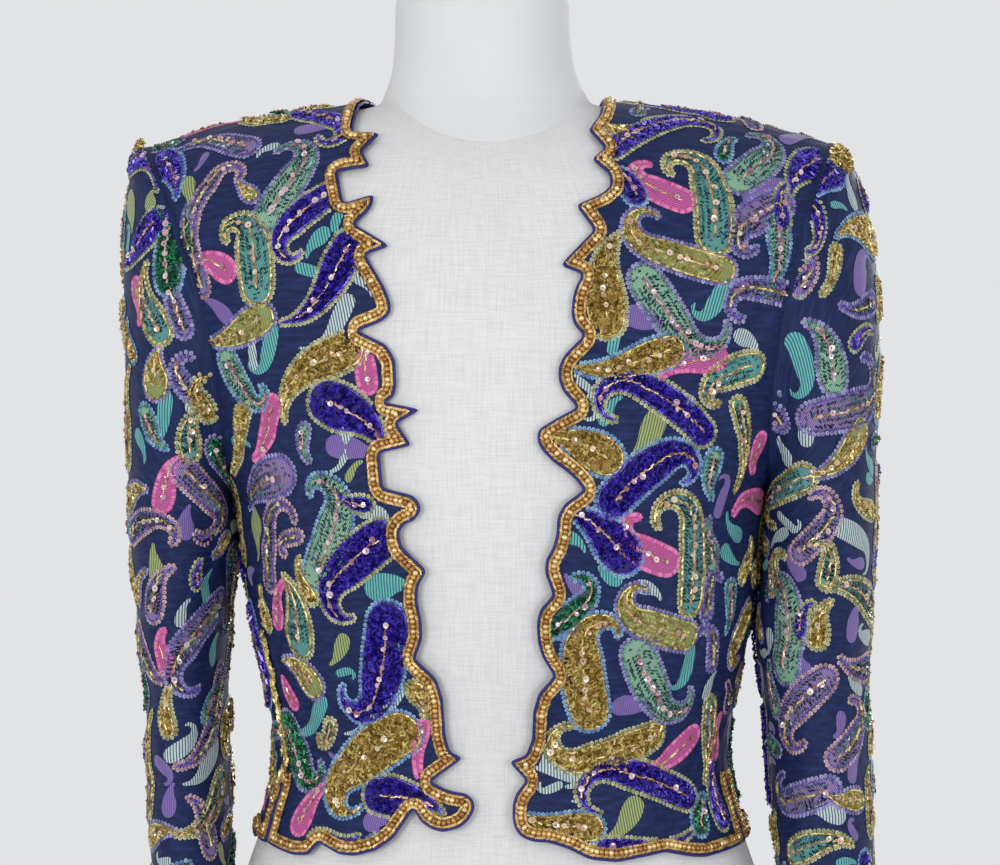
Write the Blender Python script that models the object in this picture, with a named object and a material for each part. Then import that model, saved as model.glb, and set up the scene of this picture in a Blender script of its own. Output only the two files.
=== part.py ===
# Open evening jacket with long sleeves, resting on a limbless dress form.
# Metres, +Z up. The fronts face -Y and the wearer's right side is at -X.
# The origin is the centre of the flat base of the form.
#
# The cloth follows one surface: below Z_CAP its level sections are rounded
# ovals, and above it the front and the back curve over to meet in a ridge,
# the shoulder line. A place on it is given by an angle round the body
# (0 at centre front, 90 degrees at the +X side, 180 at centre back) and by t,
# a length up the cloth. Each panel is an outline on that surface, filled with
# triangles and given the thickness of the cloth.

import math
import bpy
import bmesh
import numpy as np
from mathutils import Vector
from mathutils.geometry import delaunay_2d_cdt

# ---------------------------------------------------------------- dimensions
WALL = 0.0015            # thickness of the beaded cloth
SEAM = 0.0005            # space left between two pieces at a seam
X_SHIFT = 0.0005         # moves the whole object so that its box is centred
Y_SHIFT = 0.0023

Z_CAP = 0.520            # height where the cloth begins to turn to the shoulder
CAP_LEN = 0.235          # length of cloth from there to the shoulder line
N_ROUND = 2.15           # roundness of the level sections
M_FRONT = 2.2            # roundness of the turn to the shoulder, in front
M_BACK = 2.8             # and behind
CHART_R = 0.150          # metres of cloth for each radian round the body
LEAN_X = -0.0115         # the neck end of the form leans this far sideways
LEAN_Z0, LEAN_Z1 = 0.55, 0.75

PANEL_GRID = 0.020       # spacing of the points inside a front
BACK_GRID = 0.025        # and inside the back
EDGE_STEP = 0.012        # spacing of the points along a panel's edge

BAND_W = 0.0050          # width of the gold edging
BAND_T = 0.0016          # its thickness
BAND_LIFT = 0.0010       # space between it and the cloth
BAND_INSET = 0.0046      # its middle line lies this far inside the cloth's edge
BAND_STEP = 0.011

SLEEVE_SIDES = 22
FORM_SIDES = 32
NECK_SEAM_SLOPE = 0.42   # the neck seam of the form drops to the front
NECK_SEAM_Z = 0.6975     # its height over the origin
FORM_GAP_Y = 0.0045      # from the form's face to the cloth's outer face
FORM_GAP_TOP = 0.0045

# torso of the jacket, outer face: height, half width, depth in front, behind
TORSO = [
    # z      half    front  behind
    (0.190, 0.1710, 0.116, 0.122),
    (0.215, 0.1650, 0.112, 0.117),
    (0.232, 0.1585, 0.109, 0.113),
    (0.250, 0.1510, 0.105, 0.108),
    (0.264, 0.1468, 0.102, 0.104),
    (0.280, 0.1415, 0.100, 0.100),
    (0.300, 0.1385, 0.100, 0.098),
    (0.340, 0.1450, 0.110, 0.101),
    (0.390, 0.1550, 0.122, 0.106),
    (0.430, 0.1590, 0.128, 0.110),
    (0.455, 0.1625, 0.129, 0.111),
    (0.470, 0.1685, 0.128, 0.112),
    (0.500, 0.1825, 0.125, 0.114),
    (0.520, 0.1915, 0.122, 0.115),
    (0.560, 0.2085, 0.122, 0.115),
    (0.600, 0.2275, 0.122, 0.115),
    (0.640, 0.2400, 0.122, 0.115),
    (0.720, 0.2520, 0.122, 0.115),
]
# shoulder line: distance from the middle, height
SHOULDER = [
    (0.000, 0.7040), (0.070, 0.6980), (0.100, 0.6935), (0.160, 0.6845),
    (0.190, 0.6765), (0.208, 0.6710), (0.260, 0.6500),
]
# armhole seam, seen from the front: height, distance from the middle
ARMHOLE = [
    (0.455, 0.1625), (0.470, 0.1632), (0.500, 0.1645), (0.550, 0.1700),
    (0.600, 0.1820), (0.640, 0.1950), (0.6712, 0.2080),
]
# side seams: side, angle at the hem, height of the top of the side slit,
# half of the slit's opening at the hem
SIDES = {
    "right": dict(angle=64.0, slit_top=0.366, slit_half=0.0022),
    "left": dict(angle=76.0, slit_top=0.330, slit_half=0.0022),
}

# Free edges, from the neck down, round the corner and along the hem to the
# side slit. One row for each point (p), notch (n), round lobe (r) or plain
# curve (c): kind, height in mm, distance from the middle in mm.
EDGE_RIGHT = [
    ("n", 675, 77), ("p", 673, 60), ("n", 662, 71), ("p", 652, 66), ("n", 650, 86),
    ("n", 630, 83), ("p", 635, 64), ("c", 627, 66), ("n", 617, 77), ("p", 604, 56),
    ("n", 599, 71), ("c", 574, 57), ("c", 562, 56), ("n", 554, 77), ("c", 543, 54),
    ("c", 516, 53), ("n", 512, 61), ("p", 508, 39), ("n", 500, 53), ("p", 487, 44),
    ("n", 483, 63), ("n", 462, 61), ("r", 460, 53), ("r", 457, 39), ("r", 445, 38),
    ("r", 440, 52), ("n", 428, 50), ("p", 414, 35), ("c", 402, 42), ("c", 377, 37),
    ("n", 362, 43), ("c", 347, 27), ("c", 308, 26), ("p", 303, 16), ("n", 289, 35),
    ("r", 283, 24), ("r", 282, 10), ("r", 270, 8), ("r", 259, 22), ("r", 262, 38),
    ("n", 273, 45), ("c", 250, 61), ("c", 243, 86), ("n", 251, 103), ("c", 241, 112),
]
EDGE_LEFT = [
    ("c", 686, 73), ("n", 675, 65), ("p", 663, 74), ("n", 656, 66), ("p", 647, 76),
    ("c", 637, 76), ("p", 628, 55), ("n", 613, 65), ("p", 592, 44), ("n", 587, 57),
    ("c", 577, 51), ("c", 559, 49), ("n", 551, 57), ("c", 536, 42), ("c", 522, 42),
    ("n", 509, 53), ("r", 500, 36), ("r", 494, 28), ("r", 481, 34), ("c", 470, 50),
    ("n", 461, 57), ("c", 450, 42), ("c", 431, 41), ("c", 417, 33), ("n", 400, 39),
    ("c", 389, 29), ("c", 367, 30), ("n", 352, 39), ("c", 339, 27), ("c", 306, 25),
    ("p", 301, 12), ("n", 290, 22), ("c", 280, 14), ("c", 263, 14), ("c", 255, 22),
    ("c", 254, 40), ("c", 241, 66), ("n", 247, 103), ("c", 242, 124), ("c", 244, 135),
]
# hem of the back: angle round the body in degrees, height in mm, kind
HEM_BACK = [
    ("c", 82, 250), ("r", 88, 247), ("n", 96, 256), ("c", 104, 244), ("c", 115, 238),
    ("n", 124, 243), ("c", 133, 234), ("c", 147, 231), ("n", 156, 242), ("c", 165, 231),
    ("c", 180, 228), ("n", 190, 240), ("c", 200, 231), ("c", 214, 232), ("n", 223, 243),
    ("c", 232, 236), ("c", 246, 240), ("n", 256, 254), ("r", 264, 246), ("r", 272, 245),
    ("n", 280, 254), ("c", 288, 248),
]
# back neck: distance from the middle, height
NECK_BACK = [(0.0715, 0.6975), (0.066, 0.6900), (0.052, 0.6840), (0.030, 0.6805), (0.0, 0.6795)]

# Sleeve rings. Each lies in a plane through its inner point (nearest the
# body) and its outer point; w is how much of the armhole's own curve it
# keeps. x is counted from the middle; "out" has a value for each sleeve.
SLEEVE_HEAD = [
    # in_x    in_z   out_x   out_z  front  behind   w
    (0.1630, 0.4565, 0.2086, 0.6714, 0.0735, 0.0690, 1.00),
    (0.1636, 0.4556, 0.2130, 0.6722, 0.0738, 0.0694, 0.97),
    (0.1640, 0.4538, 0.2190, 0.6655, 0.0740, 0.0696, 0.86),
    (0.1636, 0.4510, 0.2250, 0.6430, 0.0732, 0.0692, 0.67),
    (0.1632, 0.4490, 0.2284, 0.6220, 0.0722, 0.0686, 0.53),
    (0.1626, 0.4467, 0.2306, 0.5970, 0.0708, 0.0678, 0.38),
    (0.1620, 0.4428, 0.2312, 0.5560, 0.0686, 0.0664, 0.20),
    (0.1613, 0.4378, 0.2300, 0.5050, 0.0656, 0.0648, 0.05),
    (0.1608, 0.4340, 0.2290, 0.4690, 0.0640, 0.0640, 0.00),
]
SLEEVE_ARM = [
    # z      in_R    out_R   in_L    out_L   mid_y   half
    (0.430, 0.1608, 0.2280, 0.1603, 0.2282, 0.0000, 0.0630),
    (0.391, 0.1690, 0.2253, 0.1567, 0.2274, 0.0012, 0.0605),
    (0.375, 0.1698, 0.2238, 0.1558, 0.2264, 0.0018, 0.0595),
    (0.360, 0.1700, 0.2225, 0.1568, 0.2252, 0.0022, 0.0586),
    (0.330, 0.1705, 0.2190, 0.1612, 0.2255, 0.0023, 0.0570),
    (0.299, 0.1690, 0.2175, 0.1635, 0.2264, 0.0010, 0.0552),
    (0.270, 0.1677, 0.2167, 0.1655, 0.2270, -0.0020, 0.0536),
    (0.240, 0.1670, 0.2140, 0.1686, 0.2272, -0.0065, 0.0520),
    (0.205, 0.1690, 0.2140, 0.1712, 0.2266, -0.0125, 0.0503),
    (0.165, 0.1745, 0.2175, 0.1752, 0.2256, -0.0200, 0.0487),
    (0.125, 0.1770, 0.2195, 0.1775, 0.2240, -0.0280, 0.0472),
    (0.086, 0.1785, 0.2205, 0.1790, 0.2225, -0.0360, 0.0460),
]
# largest folds of a sleeve: height, angle round the sleeve in degrees (0 at
# the body, 90 in front, 180 outside), reach in height, reach round, depth, slant
SLEEVE_FOLDS = [
    (0.520, 45.0, 0.030, 38.0, -0.0030, 0.30),
    (0.478, 60.0, 0.016, 55.0, -0.0028, 0.15),
    (0.448, 80.0, 0.014, 60.0, 0.0018, -0.10),
    (0.372, 70.0, 0.013, 65.0, -0.0022, 0.10),
    (0.340, 130.0, 0.014, 60.0, -0.0022, -0.12),
    (0.300, 40.0, 0.013, 60.0, -0.0018, 0.12),
    (0.500, 290.0, 0.024, 50.0, -0.0028, -0.20),
    (0.360, 250.0, 0.014, 65.0, -0.0020, 0.10),
]

# dress form: height, half width, depth in front, depth behind. From
# FORM_CAP up the form follows the inside of the jacket instead.
FORM = [
    (0.000, 0.1620, 0.109, 0.117),
    (0.050, 0.1665, 0.111, 0.122),
    (0.100, 0.1688, 0.112, 0.124),
    (0.150, 0.1686, 0.111, 0.121),
    (0.190, 0.1650, 0.108, 0.115),
    (0.215, 0.1596, 0.1045, 0.1100),
    (0.232, 0.1545, 0.1015, 0.1060),
    (0.252, 0.1472, 0.0970, 0.1000),
    (0.275, 0.1375, 0.0935, 0.0945),
    (0.300, 0.1325, 0.0935, 0.0920),
    (0.330, 0.1355, 0.1000, 0.0940),
    (0.370, 0.1435, 0.1110, 0.0980),
    (0.410, 0.1495, 0.1190, 0.1030),
    (0.450, 0.1530, 0.1235, 0.1060),
    (0.490, 0.1580, 0.1210, 0.1085),
    (0.520, 0.1610, 0.1175, 0.1105),
    (0.560, 0.1660, 0.1175, 0.1105),
    (0.600, 0.1730, 0.1175, 0.1105),
    (0.630, 0.1785, 0.1175, 0.1105),
    (0.655, 0.1810, 0.1175, 0.1105),
    (0.690, 0.1810, 0.1175, 0.1105),
]
FORM_LEVELS = [0.030, 0.075, 0.120, 0.165, 0.200, 0.230, 0.255, 0.278, 0.302, 0.335, 0.375, 0.415,
               0.455, 0.490, 0.525, 0.560, 0.595, 0.622, 0.643, 0.660, 0.671, 0.679, 0.687, 0.695,
               0.704, 0.715, 0.730, 0.756]
# neck of the form: height, radius across, radius front to back, centre y
NECK = [
    (0.640, 0.0700, 0.0680, 0.000),
    (0.690, 0.0665, 0.0650, 0.000),
    (0.703, 0.0610, 0.0610, 0.000),
    (0.715, 0.0565, 0.0580, 0.000),
    (0.728, 0.0545, 0.0560, 0.000),
    (0.745, 0.0535, 0.0550, 0.000),
    (0.765, 0.0530, 0.0545, 0.000),
]

COLOURS = {
    # name        colour                  rough  metal
    "cloth": ((0.030, 0.035, 0.110, 1.0), 0.45, 0.0),
    "gold": ((0.72, 0.50, 0.16, 1.0), 0.30, 0.9),
    "cover": ((0.86, 0.86, 0.85, 1.0), 0.80, 0.0),
    "jersey": ((0.88, 0.88, 0.87, 1.0), 0.75, 0.0),
}


# ------------------------------------------------------------------ surfaces
def curve_of(table, col):
    """A smooth curve through one column of a table, with no overshoot."""
    xs = np.array([r[0] for r in table], float)
    ys = np.array([r[col] for r in table], float)
    h = np.diff(xs)
    d = np.diff(ys) / h
    m = np.zeros(len(xs))
    for i in range(1, len(xs) - 1):
        if d[i - 1] * d[i] > 0:
            w1, w2 = 2 * h[i] + h[i - 1], h[i] + 2 * h[i - 1]
            m[i] = (w1 + w2) / (w1 / d[i - 1] + w2 / d[i])
    m[0], m[-1] = d[0], d[-1]

    def f(x):
        x = np.clip(np.asarray(x, float), xs[0], xs[-1])
        i = np.clip(np.searchsorted(xs, x, side="right") - 1, 0, len(h) - 1)
        t = (x - xs[i]) / h[i]
        return ((2 * t**3 - 3 * t**2 + 1) * ys[i] + (t**3 - 2 * t**2 + t) * h[i] * m[i]
                + (-2 * t**3 + 3 * t**2) * ys[i + 1] + (t**3 - t**2) * h[i] * m[i + 1])
    return f


half_width, front_depth, back_depth = (curve_of(TORSO, c) for c in (1, 2, 3))
shoulder_z = curve_of(SHOULDER, 1)
armhole_x = curve_of(ARMHOLE, 1)
form_half, form_front, form_back = (curve_of(FORM, c) for c in (1, 2, 3))
neck_rx, neck_ry, neck_cy = (curve_of(NECK, c) for c in (1, 2, 3))


def lean(z):
    t = np.clip((np.asarray(z, float) - LEAN_Z0) / (LEAN_Z1 - LEAN_Z0), 0.0, 1.0)
    return LEAN_X * t * t * (3 - 2 * t)


def placed(x, y, z):
    return np.stack([x + lean(z) + X_SHIFT, y + Y_SHIFT + 0 * x, z + 0 * x], axis=-1)


def depth_at(x, z, side, gap=0.0, top=0.0):
    """Distance of the cloth's outer face from the mid plane; side -1 is front."""
    x = abs(x)
    a = float(half_width(z))
    b = float(front_depth(z) if side < 0 else back_depth(z)) - gap
    m = M_FRONT if side < 0 else M_BACK
    r = max(0.0, 1 - (x / a) ** N_ROUND) ** (1 / N_ROUND)
    if z > Z_CAP:
        zf = min(1.0, (z - Z_CAP) / (float(shoulder_z(x)) - top - Z_CAP))
        r *= max(0.0, 1 - zf ** m) ** (1 / m)
    return b * r


def torso_raw(ang, t):
    """Point of the outer face, for arrays of angle (radians) and length t."""
    ang, t = np.asarray(ang, float), np.asarray(t, float)
    s, c = np.sin(ang), np.cos(ang)
    r = (np.abs(s) ** N_ROUND + np.abs(c) ** N_ROUND) ** (-1 / N_ROUND)
    front = c >= 0
    m = np.where(front, M_FRONT, M_BACK)
    psi = np.clip((t - Z_CAP) / CAP_LEN, 0, 1.2) * math.pi / 2
    cs, sn = np.abs(np.cos(psi)), np.sin(psi)
    q = (cs ** m + sn ** m) ** (-1 / m)
    keep, rise = q * cs, q * sn
    x = r * s * half_width(np.minimum(t, Z_CAP))
    z = t
    for _ in range(8):
        z = np.where(t <= Z_CAP, t, Z_CAP + (shoulder_z(np.abs(x)) - Z_CAP) * rise)
        x = r * s * half_width(z)
    b = np.where(front, front_depth(z), back_depth(z))
    y = -b * r * c * keep
    return placed(x, y, z)


def torso_point(ang, t, lift=0.0):
    p = torso_raw(ang, t)
    if lift == 0.0:
        return p
    e = 1e-4
    tt = np.minimum(t, Z_CAP + CAP_LEN - 2 * e)
    du = torso_raw(ang + e, tt) - torso_raw(ang - e, tt)
    dv = torso_raw(ang, tt + e) - torso_raw(ang, tt - e)
    n = np.cross(du, dv)
    n /= np.linalg.norm(n, axis=-1, keepdims=True)
    return p + lift * n


def chart(x, z, side):
    """Angle and length t of the cloth at x (from the middle) and z."""
    f = min(1.0, abs(x) / float(half_width(z)))
    ang = math.atan2(f, max(0.0, 1 - f ** N_ROUND) ** (1 / N_ROUND))
    if z <= Z_CAP:
        t = z
    else:
        m = M_FRONT if side < 0 else M_BACK
        zf = min(1.0, (z - Z_CAP) / (float(shoulder_z(abs(x))) - Z_CAP))
        t = Z_CAP + math.atan2(zf, max(0.0, 1 - zf ** m) ** (1 / m)) / (math.pi / 2) * CAP_LEN
    if x < 0:
        ang = -ang
    if side > 0:
        ang = math.pi - ang
    return ang * CHART_R, t


# ------------------------------------------------------------------ outlines
def resample(points, step):
    """Points along a line of corners, keeping each corner."""
    out = [points[0]]
    for a, b in zip(points[:-1], points[1:]):
        n = max(1, int(round(math.dist(a, b) / step)))
        out += [(a[0] + (b[0] - a[0]) * k / n, a[1] + (b[1] - a[1]) * k / n) for k in range(1, n + 1)]
    return out


def soften(rows):
    """Round the lobes and plain curves; points and notches stay sharp."""
    out = [rows[0][1]]
    for i in range(1, len(rows) - 1):
        kind, p = rows[i]
        if kind in "rc":
            a, b = rows[i - 1][1], rows[i + 1][1]
            k = 0.30 if kind == "r" else 0.24
            out.append((p[0] + (a[0] - p[0]) * k, p[1] + (a[1] - p[1]) * k))
            out.append((p[0] + (b[0] - p[0]) * k, p[1] + (b[1] - p[1]) * k))
        else:
            out.append(p)
    return out + [rows[-1][1]]


T_TOP = Z_CAP + CAP_LEN - SEAM / 2


def seam_angle(side, z):
    """Angle of the side seam at height z; side +1 is the wearer's left."""
    row = SIDES["left" if side > 0 else "right"]
    k = min(1.0, max(0.0, (z - row["slit_top"]) / (0.455 - row["slit_top"])))
    k = k * k * (3 - 2 * k)
    return math.radians(row["angle"] + (90.0 - row["angle"]) * k)


def side_line(side, panel):
    """Side seam from the hem up, in the chart; panel -1 front, +1 back."""
    row = SIDES["left" if side > 0 else "right"]
    out = []
    for z in np.linspace(0.247, 0.455, 16):
        open_ = SEAM / 2 + row["slit_half"] * max(0.0, (row["slit_top"] - z) / 0.12)
        s = seam_angle(side, z) * CHART_R + panel * open_
        out.append((side * s, float(z)))
    return out


def armhole_line(side, panel):
    """Armhole from the underarm up to the shoulder, in the chart."""
    out = []
    for z in (0.4572, 0.462, 0.470, 0.484, 0.500, 0.517, 0.534, 0.551, 0.568, 0.585, 0.601,
              0.616, 0.630, 0.642, 0.652, 0.660, 0.6662, 0.6700):
        s, t = chart(side * float(armhole_x(z)), z, panel)
        out.append((s, t))
    s, t = chart(side * 0.2080, 0.6710, panel)
    out.append((s, T_TOP))
    return out


def wrap(side, line):
    """Bring a line of the wearer's right side into the back's angles."""
    return [(s + 2 * math.pi * CHART_R if s < 0 else s, t) for s, t in line]


def free_edge(side):
    """Front edge and hem, from the shoulder to the side slit, in the chart."""
    table = EDGE_LEFT if side > 0 else EDGE_RIGHT
    rows = [("p", (chart(side * 0.0720, 0.6975, -1)[0], T_TOP))]
    rows += [(kind, chart(side * x / 1000.0, z / 1000.0, -1)) for kind, z, x in table]
    rows.append(("p", side_line(side, -1)[0]))
    return soften(rows)


def front_outline(side):
    edge = resample(free_edge(side), EDGE_STEP)
    seam = side_line(side, -1)[1:]
    arm = armhole_line(side, -1)
    top = resample([arm[-1], edge[0]], 0.018)[1:-1]
    loop = edge + seam + arm + top
    return loop if side > 0 else loop[::-1]


def neck_back_line():
    half = [chart(x, z, 1) for x, z in NECK_BACK]
    half[0] = (half[0][0], T_TOP)
    other = [(2 * math.pi * CHART_R - s, t) for s, t in half[:-1]]
    return half + other[::-1]


def hem_back_line():
    rows = [("p", side_line(1, 1)[0])]
    rows += [(k, (math.radians(a) * CHART_R, z / 1000.0)) for k, a, z in HEM_BACK]
    rows.append(("p", wrap(-1, [side_line(-1, 1)[0]])[0]))
    return soften(rows)


def back_outline():
    left_seam, right_seam = side_line(1, 1), wrap(-1, side_line(-1, 1))
    left_arm, right_arm = armhole_line(1, 1), wrap(-1, armhole_line(-1, 1))
    hem = resample(hem_back_line(), 0.016)
    neck = resample(neck_back_line(), 0.020)
    top_r = resample([right_arm[-1], neck[-1]], 0.018)[1:]
    top_l = resample([neck[0], left_arm[-1]], 0.018)[1:-1]
    return (hem + right_seam[1:] + right_arm + top_r + neck[::-1][1:] + top_l
            + left_arm[::-1] + left_seam[1:][::-1])


# -------------------------------------------------------------------- meshes
def new_object(name, verts, faces, slot):
    mesh = bpy.data.meshes.new(name)
    mesh.from_pydata([tuple(v) for v in verts], [], faces)
    mesh.update()
    obj = bpy.data.objects.new(name, mesh)
    bpy.context.scene.collection.objects.link(obj)
    colour, rough, metal = COLOURS[slot]
    mat = bpy.data.materials.new(name + "_finish")
    mat.use_nodes = True
    shader = mat.node_tree.nodes["Principled BSDF"]
    shader.inputs["Base Color"].default_value = colour
    shader.inputs["Roughness"].default_value = rough
    shader.inputs["Metallic"].default_value = metal
    mesh.materials.append(mat)
    mesh.shade_smooth()
    mesh.set_sharp_from_angle(angle=math.radians(50))
    return obj


def distance_to_loop(p, loop):
    a = np.array(loop)
    b = np.roll(a, -1, axis=0)
    d = b - a
    k = np.clip(((p - a) * d).sum(1) / np.maximum((d * d).sum(1), 1e-12), 0, 1)
    return np.sqrt((((a + d * k[:, None]) - p) ** 2).sum(1)).min()


def panel(name, loop, grid):
    """Fill an outline of the chart with triangles and give it its thickness."""
    arr = np.array(loop)
    lo, hi = arr.min(0), arr.max(0)
    inner = []
    rows = int((hi[1] - lo[1]) / (grid * 0.9)) + 1
    for j in range(rows):
        t = lo[1] + (j + 0.5) * grid * 0.9
        shift = 0.5 * grid * (j % 2)
        s = math.floor(lo[0] / grid) * grid + shift
        while s < hi[0]:
            p = np.array([s, t])
            if distance_to_loop(p, loop) > 0.55 * grid:
                inner.append(p)
            s += grid
    pts = [Vector(p) for p in loop] + [Vector(p) for p in inner]
    verts, _, faces, _, _, _ = delaunay_2d_cdt(pts, [], [list(range(len(loop)))], 1, 1e-6)
    flat = np.array([tuple(v) for v in verts])
    used = sorted({i for f in faces for i in f})
    index = {v: k for k, v in enumerate(used)}
    flat = flat[used]
    faces = [tuple(index[i] for i in f) for f in faces]
    turned = []
    for f in faces:
        a, b, c = (flat[i] for i in f[:3])
        cross = (b[0] - a[0]) * (c[1] - a[1]) - (b[1] - a[1]) * (c[0] - a[0])
        turned.append(f if cross > 0 else f[::-1])
    faces = turned
    ang, t = flat[:, 0] / CHART_R, flat[:, 1]
    outer, inner = torso_point(ang, t), torso_point(ang, t, -WALL)
    n = len(flat)
    edges = {}
    for f in faces:
        for a, b in zip(f, f[1:] + f[:1]):
            edges[(a, b)] = True
    body = list(faces) + [tuple(i + n for i in f[::-1]) for f in faces]
    for a, b in edges:
        if (b, a) not in edges:
            body.append((b, a, a + n, b + n))
    return new_object(name, np.vstack([outer, inner]), body, "cloth")


def inset_line(line, inset, step, passes, turn):
    """A smoothed line that runs beside another one, for the edging."""
    p = np.array(resample(line, 0.003))
    for _ in range(passes):
        p[1:-1] = 0.5 * p[1:-1] + 0.25 * (p[:-2] + p[2:])
    d = np.gradient(p, axis=0)
    d /= np.linalg.norm(d, axis=1, keepdims=True)
    p = p + inset * turn * np.stack([-d[:, 1], d[:, 0]], axis=1)
    for _ in range(passes):
        p[1:-1] = 0.5 * p[1:-1] + 0.25 * (p[:-2] + p[2:])
    run = np.concatenate([[0], np.cumsum(np.linalg.norm(np.diff(p, axis=0), axis=1))])
    n = max(2, int(run[-1] / step))
    at = np.linspace(0, run[-1], n + 1)
    return np.stack([np.interp(at, run, p[:, 0]), np.interp(at, run, p[:, 1])], axis=1)


def band(name, line):
    """Edging: a flat strip of BAND_W by BAND_T standing on the cloth."""
    d = np.gradient(line, axis=0)
    d /= np.linalg.norm(d, axis=1, keepdims=True)
    side = np.stack([-d[:, 1], d[:, 0]], axis=1) * BAND_W / 2
    a, b = line + side, line - side
    t_end = T_TOP - 0.0006
    verts = []
    for q, lift in ((a, BAND_LIFT), (b, BAND_LIFT), (b, BAND_LIFT + BAND_T), (a, BAND_LIFT + BAND_T)):
        verts.append(torso_point(q[:, 0] / CHART_R, np.minimum(q[:, 1], t_end), lift))
    n = len(line)
    v = np.vstack(verts)
    faces = []
    for i in range(n - 1):
        for k in range(4):
            m = (k + 1) % 4
            faces.append((k * n + i, m * n + i, m * n + i + 1, k * n + i + 1))
    faces.append((3 * n, 2 * n, n, 0))
    faces.append((n - 1, 2 * n - 1, 3 * n - 1, 4 * n - 1))
    obj = new_object(name, v, faces, "gold")
    outward(obj)
    return obj


def outward(obj):
    bm = bmesh.new()
    bm.from_mesh(obj.data)
    bmesh.ops.recalc_face_normals(bm, faces=bm.faces)
    bm.to_mesh(obj.data)
    bm.free()


def tube(name, rings_out, rings_in, slot, flip):
    """A wall between two sets of rings, closed at both ends by its thickness."""
    m, n = len(rings_out), len(rings_out[0])
    verts = np.vstack([np.vstack(rings_out), np.vstack(rings_in)])
    off = m * n
    faces = []
    for j in range(m - 1):
        for i in range(n):
            k = (i + 1) % n
            a, b, c, d = j * n + i, j * n + k, (j + 1) * n + k, (j + 1) * n + i
            faces.append((a, b, c, d))
            faces.append((off + d, off + c, off + b, off + a))
    for i in range(n):
        k = (i + 1) % n
        faces.append((off + i, off + k, k, i))
        faces.append(((m - 1) * n + i, (m - 1) * n + k, off + (m - 1) * n + k, off + (m - 1) * n + i))
    if flip:
        faces = [f[::-1] for f in faces]
    return new_object(name, verts, faces, slot)


# ------------------------------------------------------------------- sleeves
def sleeve_ring(row, head, side, phi):
    """Points of one ring, at angles phi round the sleeve (0 at the body)."""
    f = (1 - np.cos(phi)) / 2
    front = phi <= math.pi
    sn = np.abs(np.sin(phi)) ** 0.92
    if head:
        in_x, in_z, out_x, out_z, fr, bk, w = row
        x = in_x + f * (out_x - in_x)
        z = in_z + f * (out_z - in_z)
        y = np.where(front, -fr, bk) * sn
        if w > 0:
            z0 = 0.4555 + f * (0.6712 - 0.4555)
            seam = armhole_x(z0)
            straight = 0.1625 + (z0 - 0.455) * (0.2080 - 0.1625) / (0.6712 - 0.455)
            x = x + w * (seam - straight)
            own = np.array([(-1 if p <= math.pi else 1)
                            * depth_at(float(sx), float(sz), -1 if p <= math.pi else 1)
                            for sx, sz, p in zip(seam, z0, phi)])
            y = w * own + (1 - w) * y
    else:
        z_, in_r, out_r, in_l, out_l, mid, half = row
        a, b = (in_l, out_l) if side > 0 else (in_r, out_r)
        x = a + f * (b - a)
        z = np.full_like(x, z_)
        y = mid + np.where(front, -half, half) * sn
    return placed(side * x, y, z)


def sleeve_fold(z, phi_deg):
    d = 0.0
    for fz, fa, rz, ra, depth, slant in SLEEVE_FOLDS:
        da = (phi_deg - fa + 180.0) % 360.0 - 180.0
        dz = z - fz - slant * math.radians(da) * 0.03
        d += depth * math.exp(-(dz / rz) ** 2 - (da / ra) ** 2)
    return d


def sleeve(name, side):
    phi = np.linspace(0, 2 * math.pi, SLEEVE_SIDES, endpoint=False)
    rings = [sleeve_ring(r, True, side, phi) for r in SLEEVE_HEAD]
    rings += [sleeve_ring(r, False, side, phi) for r in SLEEVE_ARM]
    g = np.array(rings)
    du = np.roll(g, -1, axis=1) - np.roll(g, 1, axis=1)
    dv = np.gradient(g, axis=0)
    nrm = np.cross(du, dv) * side
    nrm /= np.linalg.norm(nrm, axis=2, keepdims=True)
    centre = g.mean(axis=1, keepdims=True)
    if ((g - centre) * nrm).sum() < 0:
        nrm = -nrm
    out = g.copy()
    for j in range(1, len(g) - 1):
        for i in range(SLEEVE_SIDES):
            near_body = abs(math.degrees(phi[i]) - 180.0) > 150.0
            if not near_body:
                out[j, i] += nrm[j, i] * sleeve_fold(g[j, i, 2], math.degrees(phi[i]))
    out[0, :, 0] += side * 0.0006
    inner = out - nrm * WALL
    obj = tube(name, list(out), list(inner), "cloth", flip=False)
    outward(obj)
    return obj


# ---------------------------------------------------------------- dress form
def form_ring(z):
    """One level section of the form, as points round it."""
    out = []
    a = float(form_half(z))
    rx, ry, cy = float(neck_rx(z)), float(neck_ry(z)), float(neck_cy(z))
    for k in range(FORM_SIDES):
        ang = 2 * math.pi * k / FORM_SIDES
        s, c = math.sin(ang), math.cos(ang)
        side = -1 if c >= 0 else 1

        def inside(r):
            x, y = r * s, r * c
            if abs(x) >= a:
                return False
            close = (1 - (abs(x) / a) ** 7) ** (1 / 7)
            if z <= Z_CAP:
                b = float(form_front(z) if side < 0 else form_back(z))
                d = b * (1 - (abs(x) / a) ** N_ROUND) ** (1 / N_ROUND)
                if z > 0.455:
                    k2 = (z - 0.455) / (Z_CAP - 0.455)
                    d = (1 - k2) * d + k2 * close * depth_at(x, z, side, FORM_GAP_Y, FORM_GAP_TOP)
            else:
                d = close * depth_at(x, z, side, FORM_GAP_Y, FORM_GAP_TOP)
            return abs(y) < d
        lo, hi = 0.0, 0.25
        for _ in range(26):
            mid = 0.5 * (lo + hi)
            if inside(mid):
                lo = mid
            else:
                hi = mid
        r = lo
        if z > 0.640:
            rn = 1.0 / math.sqrt((s / rx) ** 2 + (c / ry) ** 2)
            r = (r ** 14 + rn ** 14) ** (1 / 14)
        out.append((r * s, -r * c))
    xy = np.array(out)
    return placed(xy[:, 0], xy[:, 1], np.full(len(xy), z))


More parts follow.
